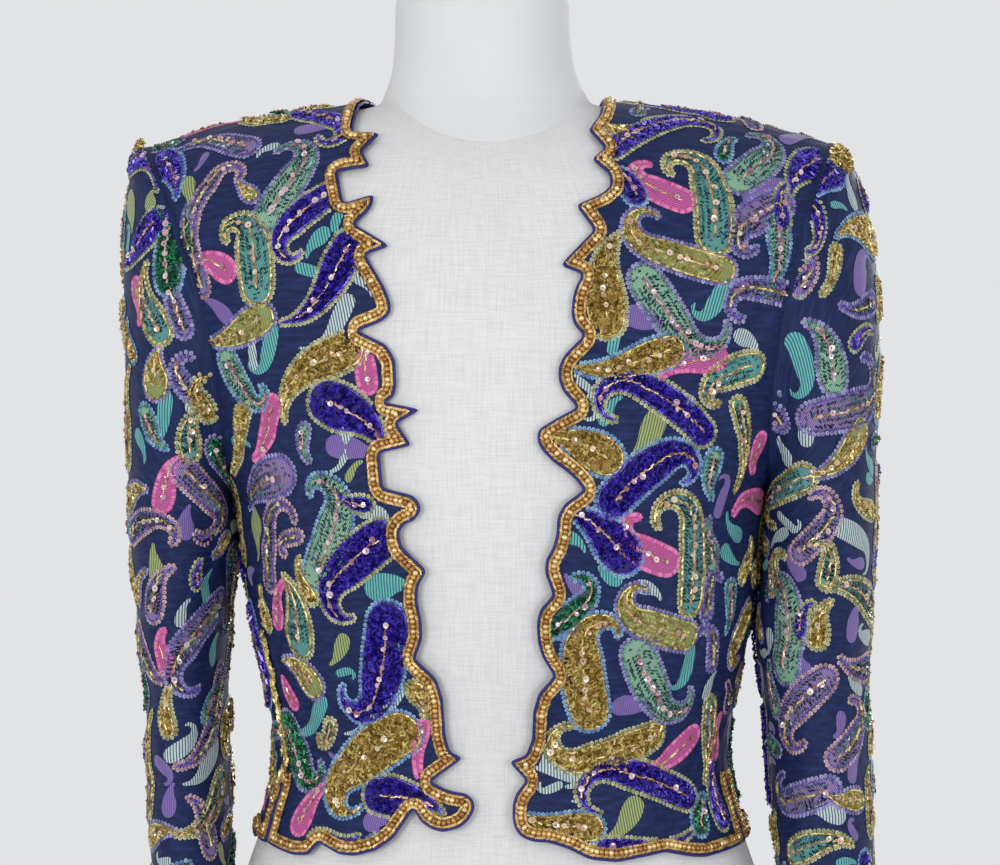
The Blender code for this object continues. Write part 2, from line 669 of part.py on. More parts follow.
def capped(name, rings, slot):
    n = len(rings[0])
    verts = np.vstack(rings)
    faces = []
    for j in range(len(rings) - 1):
        for i in range(n):
            k = (i + 1) % n
            faces.append((j * n + i, j * n + k, (j + 1) * n + k, (j + 1) * n + i))
    faces.append(tuple(range(n))[::-1])
    faces.append(tuple(range((len(rings) - 1) * n, len(rings) * n)))
    obj = new_object(name, verts, faces, slot)
    outward(obj)
    return obj


def scaled_ring(ring, k, z):
    c = ring.mean(axis=0)
    out = c + (ring - c) * k
    out[:, 2] = z
    return out


def cut_by_seam(obj, keep_above):
    """Keep what is above or below the sloping neck seam, and close the cut."""
    bm = bmesh.new()
    bm.from_mesh(obj.data)
    normal = Vector((0.0, -NECK_SEAM_SLOPE, 1.0)).normalized()
    offset = 0.0002 if keep_above else -0.0002
    point = Vector((0.0, 0.0, NECK_SEAM_Z)) + normal * offset
    geom = bm.verts[:] + bm.edges[:] + bm.faces[:]
    bmesh.ops.bisect_plane(bm, geom=geom, plane_co=point, plane_no=normal, dist=1e-6,
                           clear_inner=keep_above, clear_outer=not keep_above)
    rim = [e for e in bm.edges if e.is_boundary]
    bmesh.ops.holes_fill(bm, edges=rim, sides=0)
    bmesh.ops.recalc_face_normals(bm, faces=bm.faces)
    bm.to_mesh(obj.data)
    bm.free()


def dress_form():
    base = form_ring(0.012)
    rings = [scaled_ring(base, 0.965, 0.0), scaled_ring(base, 0.990, 0.004)]
    rings += [form_ring(z) for z in FORM_LEVELS]
    top = rings[-1]
    rings += [scaled_ring(top, 0.975, 0.7610), scaled_ring(top, 0.90, 0.7642), scaled_ring(top, 0.70, 0.7655)]
    torso = capped("form_torso", rings, "cover")
    neck = capped("form_neck", rings, "jersey")
    cut_by_seam(torso, False)
    cut_by_seam(neck, True)
    return torso, neck


# --------------------------------------------------------------------- build
def edge_band(name, side):
    line = free_edge(side)
    slit = side_line(side, -1)
    for row in slit[1:]:
        if row[1] > SIDES["left" if side > 0 else "right"]["slit_top"] - 0.010:
            break
        line = line + [row]
    turn = 1.0 if side > 0 else -1.0
    return band(name, inset_line(line, BAND_INSET, BAND_STEP, 5, turn))


def main():
    for old in list(bpy.data.objects):
        bpy.data.objects.remove(old, do_unlink=True)
    dress_form()
    panel("front_right", front_outline(-1), PANEL_GRID)
    panel("front_left", front_outline(1), PANEL_GRID)
    panel("back", back_outline(), BACK_GRID)
    sleeve("sleeve_right", -1)
    sleeve("sleeve_left", 1)
    edge_band("edging_front_right", -1)
    edge_band("edging_front_left", 1)
    slit_l, slit_r = side_line(1, 1), wrap(-1, side_line(-1, 1))
    hem = [p for p in slit_l[::-1] if p[1] < SIDES["left"]["slit_top"] - 0.010][:-1]
    hem += hem_back_line()
    hem += [p for p in slit_r if p[1] < SIDES["right"]["slit_top"] - 0.010][1:]
    band("edging_hem_back", inset_line(hem, BAND_INSET, BAND_STEP, 5, 1.0))
    neck = neck_back_line()
    band("edging_neck_back", inset_line(neck, BAND_INSET, BAND_STEP, 3, -1.0))


main()
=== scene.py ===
# Looks of the beaded evening jacket on its dress form.
# Metres, +Z up; the open fronts face -Y, the wearer's right is at -X.

import math

import bpy  # noqa: E402
import bmesh  # noqa: E402
import numpy as np  # noqa: E402
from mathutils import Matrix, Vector  # noqa: E402
from mathutils.geometry import delaunay_2d_cdt  # noqa: E402


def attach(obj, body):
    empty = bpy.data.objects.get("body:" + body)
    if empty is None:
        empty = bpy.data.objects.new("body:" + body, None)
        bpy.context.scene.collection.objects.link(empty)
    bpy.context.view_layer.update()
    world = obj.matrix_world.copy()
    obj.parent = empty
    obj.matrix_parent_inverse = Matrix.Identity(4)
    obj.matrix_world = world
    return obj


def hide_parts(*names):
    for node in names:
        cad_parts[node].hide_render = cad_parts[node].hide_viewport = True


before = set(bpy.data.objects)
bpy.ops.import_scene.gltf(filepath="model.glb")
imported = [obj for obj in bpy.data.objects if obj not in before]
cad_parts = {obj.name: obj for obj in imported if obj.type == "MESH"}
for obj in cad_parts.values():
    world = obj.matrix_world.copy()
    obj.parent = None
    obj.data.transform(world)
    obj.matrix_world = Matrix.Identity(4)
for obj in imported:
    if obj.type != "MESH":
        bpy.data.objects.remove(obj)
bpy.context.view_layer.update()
rng = np.random.default_rng(6493)

# ------------------------------------------------------------------- camera
CAM_TURN = math.radians(4.0)      # the camera stands a little to the left
CAM_DIST = 2.30
CAM_Z = 0.4945
CAM_F = 3749.0                    # focal length in pixels of a 1000 px frame

# ------------------------------------------------------------------- sizes
SHELL = 0.0010           # thickness of the cloth shell
SEAM = 0.0005
X_SHIFT, Y_SHIFT = 0.0005, 0.0023
Z_CAP, CAP_LEN = 0.520, 0.235
N_ROUND, M_FRONT, M_BACK = 2.15, 2.2, 2.8
CHART_R = 0.150
LEAN_X, LEAN_Z0, LEAN_Z1 = -0.0115, 0.55, 0.75
FORM_GAP_Y, FORM_GAP_TOP = 0.0045, 0.0045
NECK_SEAM_SLOPE, NECK_SEAM_Z, NECK_SEAM_ARC = 0.42, 0.6975, 3.2

TORSO = [
    # z      half    front  behind
    (0.190, 0.1710, 0.116, 0.122), (0.215, 0.1650, 0.112, 0.117), (0.232, 0.1585, 0.109, 0.113),
    (0.250, 0.1510, 0.105, 0.108), (0.264, 0.1468, 0.102, 0.104), (0.280, 0.1415, 0.100, 0.100),
    (0.300, 0.1385, 0.100, 0.098), (0.340, 0.1450, 0.110, 0.101), (0.390, 0.1550, 0.122, 0.106),
    (0.430, 0.1590, 0.128, 0.110), (0.455, 0.1625, 0.129, 0.111), (0.470, 0.1685, 0.128, 0.112),
    (0.500, 0.1825, 0.125, 0.114), (0.520, 0.1915, 0.122, 0.115), (0.560, 0.2085, 0.122, 0.115),
    (0.600, 0.2275, 0.122, 0.115), (0.640, 0.2400, 0.122, 0.115), (0.720, 0.2520, 0.122, 0.115),
]
SHOULDER = [(0.000, 0.7040), (0.070, 0.6980), (0.100, 0.6935), (0.160, 0.6845),
            (0.190, 0.6765), (0.208, 0.6710), (0.260, 0.6500)]
ARMHOLE = [(0.455, 0.1625), (0.470, 0.1632), (0.500, 0.1645), (0.550, 0.1700),
           (0.600, 0.1820), (0.640, 0.1950), (0.6712, 0.2080)]
SIDES = {
    "right": dict(angle=64.0, slit_top=0.366, slit_half=0.0022),
    "left": dict(angle=76.0, slit_top=0.330, slit_half=0.0022),
}
EDGE_RIGHT = [
    ("n", 675, 77), ("p", 673, 60), ("n", 662, 71), ("p", 652, 66), ("n", 650, 86),
    ("n", 630, 83), ("p", 635, 64), ("c", 627, 66), ("n", 617, 77), ("p", 604, 56),
    ("n", 599, 71), ("c", 574, 57), ("c", 562, 56), ("n", 554, 77), ("c", 543, 54),
    ("c", 516, 53), ("n", 512, 61), ("p", 508, 39), ("n", 500, 53), ("p", 487, 44),
    ("n", 483, 63), ("n", 462, 61), ("r", 460, 53), ("r", 457, 39), ("r", 445, 38),
    ("r", 440, 52), ("n", 428, 50), ("p", 414, 35), ("c", 402, 42), ("c", 377, 37),
    ("n", 362, 43), ("c", 347, 27), ("c", 308, 26), ("p", 303, 16), ("n", 289, 35),
    ("r", 283, 24), ("r", 282, 10), ("r", 270, 8), ("r", 259, 22), ("r", 262, 38),
    ("n", 273, 45), ("c", 250, 61), ("c", 243, 86), ("n", 251, 103), ("c", 241, 112),
]
EDGE_LEFT = [
    ("c", 686, 73), ("n", 675, 65), ("p", 663, 74), ("n", 656, 66), ("p", 647, 76),
    ("c", 637, 76), ("p", 628, 55), ("n", 613, 65), ("p", 592, 44), ("n", 587, 57),
    ("c", 577, 51), ("c", 559, 49), ("n", 551, 57), ("c", 536, 42), ("c", 522, 42),
    ("n", 509, 53), ("r", 500, 36), ("r", 494, 28), ("r", 481, 34), ("c", 470, 50),
    ("n", 461, 57), ("c", 450, 42), ("c", 431, 41), ("c", 417, 33), ("n", 400, 39),
    ("c", 389, 29), ("c", 367, 30), ("n", 352, 39), ("c", 339, 27), ("c", 306, 25),
    ("p", 301, 12), ("n", 290, 22), ("c", 280, 14), ("c", 263, 14), ("c", 255, 22),
    ("c", 254, 40), ("c", 241, 66), ("n", 247, 103), ("c", 242, 124), ("c", 244, 135),
]
HEM_BACK = [
    ("c", 82, 250), ("r", 88, 247), ("n", 96, 256), ("c", 104, 244), ("c", 115, 238),
    ("n", 124, 243), ("c", 133, 234), ("c", 147, 231), ("n", 156, 242), ("c", 165, 231),
    ("c", 180, 228), ("n", 190, 240), ("c", 200, 231), ("c", 214, 232), ("n", 223, 243),
    ("c", 232, 236), ("c", 246, 240), ("n", 256, 254), ("r", 264, 246), ("r", 272, 245),
    ("n", 280, 254), ("c", 288, 248),
]
NECK_BACK = [(0.0715, 0.6975), (0.066, 0.6900), (0.052, 0.6840), (0.030, 0.6805), (0.0, 0.6795)]
SLEEVE_HEAD = [
    # in_x    in_z   out_x   out_z  front  behind   w
    (0.1630, 0.4565, 0.2086, 0.6714, 0.0735, 0.0690, 1.00),
    (0.1632, 0.4556, 0.2130, 0.6722, 0.0738, 0.0694, 0.97),
    (0.1632, 0.4538, 0.2190, 0.6655, 0.0740, 0.0696, 0.86),
    (0.1629, 0.4510, 0.2250, 0.6430, 0.0732, 0.0692, 0.67),
    (0.1625, 0.4490, 0.2284, 0.6220, 0.0722, 0.0686, 0.53),
    (0.1620, 0.4467, 0.2306, 0.5970, 0.0708, 0.0678, 0.38),
    (0.1613, 0.4428, 0.2312, 0.5560, 0.0686, 0.0664, 0.20),
    (0.1607, 0.4378, 0.2300, 0.5050, 0.0656, 0.0648, 0.05),
    (0.1602, 0.4340, 0.2290, 0.4690, 0.0640, 0.0640, 0.00),
]
SLEEVE_ARM = [
    # z      in_R    out_R   in_L    out_L   mid_y   half
    (0.430, 0.1602, 0.2280, 0.1599, 0.2282, 0.0000, 0.0630),
    (0.391, 0.1690, 0.2253, 0.1567, 0.2274, 0.0012, 0.0605),
    (0.375, 0.1698, 0.2238, 0.1558, 0.2264, 0.0018, 0.0595),
    (0.360, 0.1700, 0.2225, 0.1568, 0.2252, 0.0022, 0.0586),
    (0.330, 0.1705, 0.2190, 0.1612, 0.2255, 0.0023, 0.0570),
    (0.299, 0.1690, 0.2175, 0.1635, 0.2264, 0.0010, 0.0552),
    (0.270, 0.1677, 0.2167, 0.1655, 0.2270, -0.0020, 0.0536),
    (0.240, 0.1670, 0.2140, 0.1686, 0.2272, -0.0065, 0.0520),
    (0.205, 0.1690, 0.2140, 0.1712, 0.2266, -0.0125, 0.0503),
    (0.165, 0.1745, 0.2175, 0.1752, 0.2256, -0.0200, 0.0487),
    (0.125, 0.1770, 0.2195, 0.1775, 0.2240, -0.0280, 0.0472),
    (0.086, 0.1785, 0.2205, 0.1790, 0.2225, -0.0360, 0.0460),
]
# folds of a sleeve: height, angle in degrees (0 at the body, 90 in front,
# 180 outside), reach in height, reach round, depth, slant. The first eight
# are the solid's own; the rest are the smaller creases between them.
SLEEVE_FOLDS = [
    (0.520, 45.0, 0.030, 38.0, -0.0030, 0.30), (0.478, 60.0, 0.016, 55.0, -0.0028, 0.15),
    (0.448, 80.0, 0.014, 60.0, 0.0018, -0.10), (0.372, 70.0, 0.013, 65.0, -0.0022, 0.10),
    (0.340, 130.0, 0.014, 60.0, -0.0022, -0.12), (0.300, 40.0, 0.013, 60.0, -0.0018, 0.12),
    (0.500, 290.0, 0.024, 50.0, -0.0028, -0.20), (0.360, 250.0, 0.014, 65.0, -0.0020, 0.10),
    (0.600, 62.0, 0.060, 9.0, -0.0024, 0.0), (0.585, 78.0, 0.070, 8.0, 0.0016, 0.0),
    (0.560, 100.0, 0.045, 10.0, -0.0014, 0.2), (0.497, 120.0, 0.010, 34.0, -0.0014, 0.35),
    (0.432, 52.0, 0.007, 34.0, -0.0018, 0.40), (0.418, 112.0, 0.008, 30.0, -0.0013, -0.35),
    (0.400, 38.0, 0.006, 36.0, -0.0018, 0.30), (0.386, 150.0, 0.008, 26.0, -0.0012, -0.50),
    (0.356, 60.0, 0.006, 30.0, 0.0014, 0.20), (0.323, 88.0, 0.007, 34.0, -0.0015, 0.45),
    (0.282, 140.0, 0.009, 30.0, -0.0012, -0.30), (0.262, 70.0, 0.010, 34.0, -0.0012, 0.30),
    (0.215, 110.0, 0.013, 40.0, -0.0014, 0.50), (0.160, 60.0, 0.014, 40.0, -0.0012, 0.30),
    (0.120, 120.0, 0.012, 36.0, -0.0010, -0.30),
    (0.610, 300.0, 0.055, 9.0, -0.0022, 0.0), (0.590, 282.0, 0.060, 8.0, 0.0014, 0.0),
    (0.455, 300.0, 0.010, 40.0, -0.0020, -0.30), (0.425, 260.0, 0.008, 34.0, -0.0015, 0.35),
    (0.395, 310.0, 0.007, 32.0, -0.0016, -0.30), (0.338, 290.0, 0.008, 36.0, -0.0015, -0.40),
    (0.315, 235.0, 0.009, 30.0, -0.0012, 0.40), (0.270, 280.0, 0.010, 36.0, -0.0012, 0.20),
    (0.205, 250.0, 0.013, 36.0, -0.0012, -0.40), (0.150, 290.0, 0.014, 36.0, -0.0011, 0.30),
]
# creases of the body: angle in degrees, length t, half length, half width,
# turn from upright in degrees, depth, bend
BODY_FOLDS = [
    # wearer's right front
    (-62, 0.560, 0.070, 0.0070, -14, -0.0030, 2.0), (-55, 0.548, 0.060, 0.0060, -10, 0.0017, 2.0),
    (-73, 0.470, 0.040, 0.0060, -52, -0.0026, 0.0), (-60, 0.440, 0.034, 0.0055, -60, -0.0014, 0.0),
    (-47, 0.505, 0.050, 0.0065, -22, -0.0018, 1.5), (-66, 0.395, 0.030, 0.0055, -74, -0.0018, 0.0),
    (-36, 0.330, 0.055, 0.0060, 8, -0.0020, -1.5), (-28, 0.315, 0.050, 0.0055, 4, 0.0012, -1.0),
    (-50, 0.325, 0.045, 0.0060, -6, -0.0017, 1.0), (-42, 0.640, 0.050, 0.0080, -30, -0.0014, 0.0),
    (-30, 0.420, 0.040, 0.0070, 24, -0.0012, 0.0), (-58, 0.345, 0.020, 0.0050, -80, -0.0014, 0.0),
    # wearer's left front
    (60, 0.585, 0.085, 0.0065, 10, -0.0032, -2.0), (52, 0.560, 0.070, 0.0060, 8, 0.0018, -2.0),
    (70, 0.480, 0.045, 0.0060, 46, -0.0026, 0.0), (45, 0.515, 0.052, 0.0070, 16, -0.0018, -1.5),
    (62, 0.425, 0.036, 0.0055, 62, -0.0018, 0.0), (54, 0.385, 0.050, 0.0060, 20, -0.0020, 1.0),
    (33, 0.330, 0.050, 0.0060, -6, -0.0018, 1.0), (47, 0.305, 0.045, 0.0060, 6, -0.0018, 0.0),
    (40, 0.300, 0.040, 0.0050, 2, 0.0011, 0.0), (66, 0.340, 0.022, 0.0050, 78, -0.0014, 0.0),
    (38, 0.650, 0.050, 0.0080, 30, -0.0014, 0.0),
    # back
    (118, 0.570, 0.075, 0.0070, -12, -0.0026, 1.5), (126, 0.545, 0.065, 0.0065, -8, 0.0015, 1.0),
    (108, 0.470, 0.045, 0.0060, -48, -0.0024, 0.0), (134, 0.500, 0.055, 0.0075, -26, -0.0018, 1.0),
    (242, 0.575, 0.080, 0.0070, 12, -0.0026, -1.5), (233, 0.550, 0.060, 0.0065, 9, 0.0015, -1.0),
    (252, 0.465, 0.045, 0.0060, 50, -0.0024, 0.0), (226, 0.495, 0.055, 0.0075, 28, -0.0018, -1.0),
    (160, 0.400, 0.035, 0.0060, 80, -0.0014, 0.0), (200, 0.375, 0.040, 0.0060, -82, -0.0015, 0.0),
    (180, 0.335, 0.050, 0.0065, 84, -0.0013, 0.0), (150, 0.310, 0.050, 0.0060, 6, -0.0018, 0.0),
    (208, 0.315, 0.052, 0.0060, -6, -0.0018, 0.0), (128, 0.330, 0.045, 0.0060, -10, -0.0016, 0.0),
    (230, 0.330, 0.045, 0.0060, 10, -0.0016, 0.0), (180, 0.620, 0.060, 0.0090, 3, -0.0012, 0.0),
    (112, 0.380, 0.030, 0.0055, 70, -0.0016, 0.0), (250, 0.380, 0.030, 0.0055, -70, -0.0016, 0.0),
]

FORM = [
    (0.000, 0.1620, 0.109, 0.117), (0.050, 0.1665, 0.111, 0.122), (0.100, 0.1688, 0.112, 0.124),
    (0.150, 0.1686, 0.111, 0.121), (0.190, 0.1650, 0.108, 0.115), (0.215, 0.1596, 0.1045, 0.1100),
    (0.232, 0.1545, 0.1015, 0.1060), (0.252, 0.1472, 0.0970, 0.1000), (0.275, 0.1375, 0.0935, 0.0945),
    (0.300, 0.1325, 0.0935, 0.0920), (0.330, 0.1355, 0.1000, 0.0940), (0.370, 0.1435, 0.1110, 0.0980),
    (0.410, 0.1495, 0.1190, 0.1030), (0.450, 0.1530, 0.1235, 0.1060), (0.490, 0.1580, 0.1210, 0.1085),
    (0.520, 0.1610, 0.1175, 0.1105), (0.560, 0.1660, 0.1175, 0.1105), (0.600, 0.1730, 0.1175, 0.1105),
    (0.630, 0.1785, 0.1175, 0.1105), (0.655, 0.1810, 0.1175, 0.1105), (0.690, 0.1810, 0.1175, 0.1105),
]
NECK = [
    (0.640, 0.0700, 0.0680, 0.000), (0.690, 0.0665, 0.0650, 0.000), (0.703, 0.0610, 0.0610, 0.000),
    (0.715, 0.0565, 0.0580, 0.000), (0.728, 0.0545, 0.0560, 0.000), (0.745, 0.0535, 0.0550, 0.000),
    (0.765, 0.0530, 0.0545, 0.000),
]

# ------------------------------------------------------------------ motifs
# One row for each paisley that the front view shows, listed one by one: family,
# round end, far end of its bend (pixels of the view), width, curl in degrees
# (+ clockwise). The shape itself is worked out by the functions below.
BODY_RIGHT = [
    ("A", 300, 115, 345, 148, 20, 220), ("D", 268, 215, 293, 147, 28, -180), ("E", 247, 147, 178, 152, 24, -60),
    ("F", 190, 130, 240, 116, 12, 40), ("B", 282, 120, 250, 112, 16, 160), ("Iv", 302, 130, 344, 130, 15, 50),
    ("E", 193, 215, 236, 170, 12, 190), ("E", 203, 288, 198, 214, 15, 40), ("A", 166, 160, 176, 196, 26, 40), ("H", 190, 250, 190, 206, 13, 40),
    ("C", 257, 288, 232, 225, 32, -210), ("F", 226, 271, 196, 262, 20, -60), ("A", 330, 195, 286, 255, 26, -190),
    ("A", 350, 245, 283, 322, 32, 70), ("Iv", 293, 214, 314, 192, 18, 60), ("It", 340, 225, 356, 205, 18, 60),
    ("Is", 356, 272, 372, 296, 14, 40), ("G", 262, 318, 206, 340, 28, 40), ("Is", 347, 302, 300, 346, 15, 90),
    ("Io", 187, 182, 188, 207, 14, 40), ("B", 347, 350, 286, 420, 33, -80), ("F", 368, 385, 378, 350, 15, 150),
    ("A", 328, 402, 382, 452, 40, 60), ("Iv", 336, 446, 378, 462, 20, 40), ("D", 228, 360, 262, 398, 22, -200),
    ("It", 272, 330, 252, 368, 14, 160), ("F", 272, 405, 254, 456, 18, 50), ("B", 243, 412, 232, 470, 16, 50),
    ("F", 207, 455, 217, 410, 20, -60), ("E", 280, 475, 240, 516, 36, -50), ("D", 318, 572, 320, 484, 34, -200),
    ("E", 270, 582, 286, 508, 17, 170), ("Io", 257, 515, 258, 560, 16, 40), ("A", 380, 540, 340, 612, 38, -170),
    ("Is", 364, 512, 386, 524, 12, 120), ("Iv", 345, 548, 352, 572, 18, 60), ("A", 366, 505, 340, 494, 14, 60),
    ("C", 243, 552, 240, 508, 24, 60), ("Iv", 250, 580, 262, 562, 16, 40), ("C", 300, 642, 284, 578, 32, -60),
    ("F", 278, 622, 284, 584, 12, 60), ("A", 388, 622, 352, 705, 40, 190), ("G", 312, 684, 284, 660, 28, -40),
    ("It", 322, 702, 286, 726, 14, 120), ("Is", 396, 690, 346, 732, 17, 50), ("B", 400, 733, 342, 806, 42, -190),
    ("H", 290, 725, 318, 776, 28, -200), ("F", 300, 824, 328, 788, 20, 60), ("A", 380, 795, 440, 812, 34, 40),
    ("Iv", 372, 822, 400, 824, 18, 40), ("F", 424, 725, 420, 776, 9, -40), ("B", 416, 690, 424, 716, 17, 60),
    ("H", 372, 848, 408, 838, 18, 40), ("A", 316, 842, 356, 836, 22, -50), ("It", 376, 588, 412, 590, 22, 60),
    ("It", 300, 268, 322, 292, 10, 120), ("Iv", 228, 318, 202, 300, 14, -40), ("Is", 254, 366, 262, 336, 9, 130),
    ("It", 236, 442, 256, 448, 12, 60), ("C", 226, 480, 222, 520, 14, 50), ("B", 312, 598, 300, 560, 12, 60),
    ("Is", 346, 430, 330, 470, 11, 90), ("Io", 344, 640, 330, 664, 13, 40), ("Iv", 258, 690, 272, 640, 14, 40),
    ("It", 402, 650, 424, 676, 14, 60), ("Iv", 356, 760, 330, 752, 13, 60), ("E", 262, 748, 266, 700, 14, 50),
    ("H", 276, 790, 270, 836, 15, 40), ("G", 252, 196, 240, 182, 12, 30), ("Is", 388, 470, 372, 486, 12, 60),
]
BODY_LEFT = [
    ("A", 724, 120, 648, 102, 16, -40), ("Io", 648, 122, 686, 116, 14, 40), ("A", 612, 150, 712, 130, 22, 200),
    ("B", 628, 133, 606, 124, 18, 60), ("F", 682, 200, 640, 168, 22, 180), ("C", 714, 238, 678, 160, 32, -210),
    ("D", 740, 180, 764, 134, 30, -170), ("Iv", 752, 198, 790, 182, 18, 50), ("A", 636, 196, 610, 166, 20, -40),
    ("G", 722, 270, 638, 222, 26, 210), ("B", 607, 320, 622, 236, 34, 60), ("D", 645, 280, 722, 340, 30, -160),
    ("It", 726, 284, 696, 312, 15, 190), ("Iv", 634, 316, 672, 336, 20, 60), ("Iv", 590, 282, 584, 256, 14, 40),
    ("E", 780, 203, 744, 246, 28, -200), ("D", 778, 225, 765, 290, 20, 50), ("Iv", 786, 140, 822, 134, 14, 60),
    ("A", 818, 160, 792, 192, 32, -50), ("A", 782, 222, 786, 186, 15, 60),
    ("E", 796, 298, 734, 306, 18, -190), ("B", 670, 350, 572, 364, 28, 50), ("F", 716, 358, 664, 376, 20, -40),
    ("Is", 568, 378, 592, 420, 13, 170), ("A", 702, 432, 606, 400, 26, -200), ("Io", 656, 420, 624, 460, 20, 60),
    ("B", 606, 458, 546, 440, 34, -40), ("A", 614, 500, 690, 470, 34, 200), ("C", 752, 366, 710, 398, 26, -180),
    ("Is", 740, 336, 756, 356, 14, 90), ("C", 738, 405, 736, 486, 14, 50), ("D", 714, 458, 712, 496, 16, -60),
    ("A", 624, 556, 564, 514, 36, -50), ("F", 667, 562, 630, 522, 24, 170), ("C", 690, 602, 668, 504, 26, -210),
    ("D", 712, 562, 710, 520, 20, 50), ("It", 738, 536, 728, 512, 13, 90), ("H", 553, 628, 584, 580, 19, -180),
    ("Iv", 560, 628, 586, 646, 20, 50), ("B", 590, 712, 604, 624, 36, 190), ("G", 686, 636, 632, 594, 28, 200),
    ("D", 638, 654, 686, 704, 32, -170), ("It", 690, 650, 672, 686, 13, 160), ("Iv", 620, 706, 656, 712, 17, 50),
    ("B", 652, 735, 556, 740, 26, 200), ("F", 692, 735, 646, 766, 17, 50), ("C", 710, 706, 704, 780, 18, 50),
    ("Is", 540, 762, 580, 796, 15, 170), ("A", 685, 796, 590, 790, 26, -190), ("Io", 634, 806, 604, 836, 18, 60),
    ("B", 590, 828, 522, 812, 26, 40), ("A", 606, 850, 690, 832, 20, -40), ("H", 700, 826, 704, 796, 18, 60),
    ("E", 705, 612, 716, 576, 14, 160), ("D", 730, 588, 726, 630, 15, 40), ("E", 712, 664, 700, 632, 12, -150),
    ("Is", 706, 694, 716, 672, 12, 60), ("F", 714, 752, 720, 716, 13, 40), ("A", 722, 820, 712, 762, 18, 50),
    ("It", 604, 420, 622, 398, 11, 60), ("Iv", 586, 596, 566, 574, 12, 40), ("Is", 640, 586, 660, 600, 12, 60),
    ("Iv", 558, 408, 584, 410, 11, 50), ("It", 616, 580, 600, 566, 12, 60), ("Iv", 660, 630, 646, 650, 13, 60),
    ("Is", 590, 770, 566, 786, 12, 60), ("It", 612, 350, 640, 322, 9, 120), ("Iv", 690, 112, 716, 106, 12, 40),
    ("Io", 770, 296, 756, 276, 12, 40), ("Is", 690, 402, 672, 392, 12, 60), ("It", 568, 536, 584, 552, 10, 60),
]
SLEEVE_LEFT_FRONT = [
    ("B", 838, 160, 846, 148, 24, 40), ("B", 872, 240, 816, 230, 34, -40), ("A", 834, 172, 806, 198, 28, 40),
    ("A", 800, 200, 812, 250, 17, 150), ("It", 800, 292, 812, 262, 14, 120), ("Is", 854, 204, 848, 174, 13, 60),
    ("A", 868, 200, 866, 172, 14, 60), ("E", 800, 288, 792, 252, 13, -40), ("B", 836, 250, 822, 292, 10, 40),
    ("Iv", 860, 286, 868, 258, 20, 140), ("E", 872, 302, 828, 300, 18, 60),
    ("It", 795, 342, 796, 394, 18, 180), ("D", 834, 380, 806, 322, 26, -50), ("E", 813, 418, 868, 362, 28, -190),
    ("Iv", 860, 420, 866, 396, 16, 40), ("E", 782, 424, 776, 396, 14, 120), ("Is", 806, 440, 812, 412, 13, 60),
    ("Is", 788, 460, 780, 436, 12, 60), ("G", 860, 430, 802, 464, 26, 50), ("C", 802, 478, 764, 520, 26, -190),
    ("E", 800, 552, 822, 496, 20, -170), ("B", 872, 512, 850, 484, 14, 140), ("Is", 842, 528, 866, 568, 18, 160),
    ("Iv", 800, 574, 790, 546, 14, 60), ("C", 826, 580, 818, 546, 14, -140), ("C", 774, 588, 782, 556, 13, 140),
    ("D", 785, 668, 776, 582, 30, -200), ("C", 876, 608, 814, 578, 28, -40), ("B", 818, 640, 830, 602, 16, 60),
    ("Iv", 852, 634, 860, 608, 16, 150), ("E", 872, 665, 826, 654, 22, 40), ("E", 824, 680, 792, 744, 26, -190),
    ("Iv", 806, 672, 802, 654, 12, 40), ("E", 838, 758, 856, 702, 22, -170), ("E", 828, 790, 780, 786, 24, 190),
    ("Iv", 852, 776, 860, 752, 14, 60), ("G", 858, 800, 828, 794, 20, 40), ("Is", 838, 816, 806, 814, 16, -60),
    ("C", 796, 852, 850, 846, 24, 50), ("C", 870, 826, 868, 770, 20, 40), ("D", 776, 708, 770, 664, 16, 40),
    ("H", 866, 720, 872, 690, 14, 40), ("B", 778, 846, 776, 814, 12, 60), ("A", 854, 344, 876, 324, 12, 60),
    ("It", 872, 470, 866, 446, 12, 60), ("A", 800, 632, 812, 604, 12, 60), ("Is", 860, 690, 846, 672, 11, 60),
]
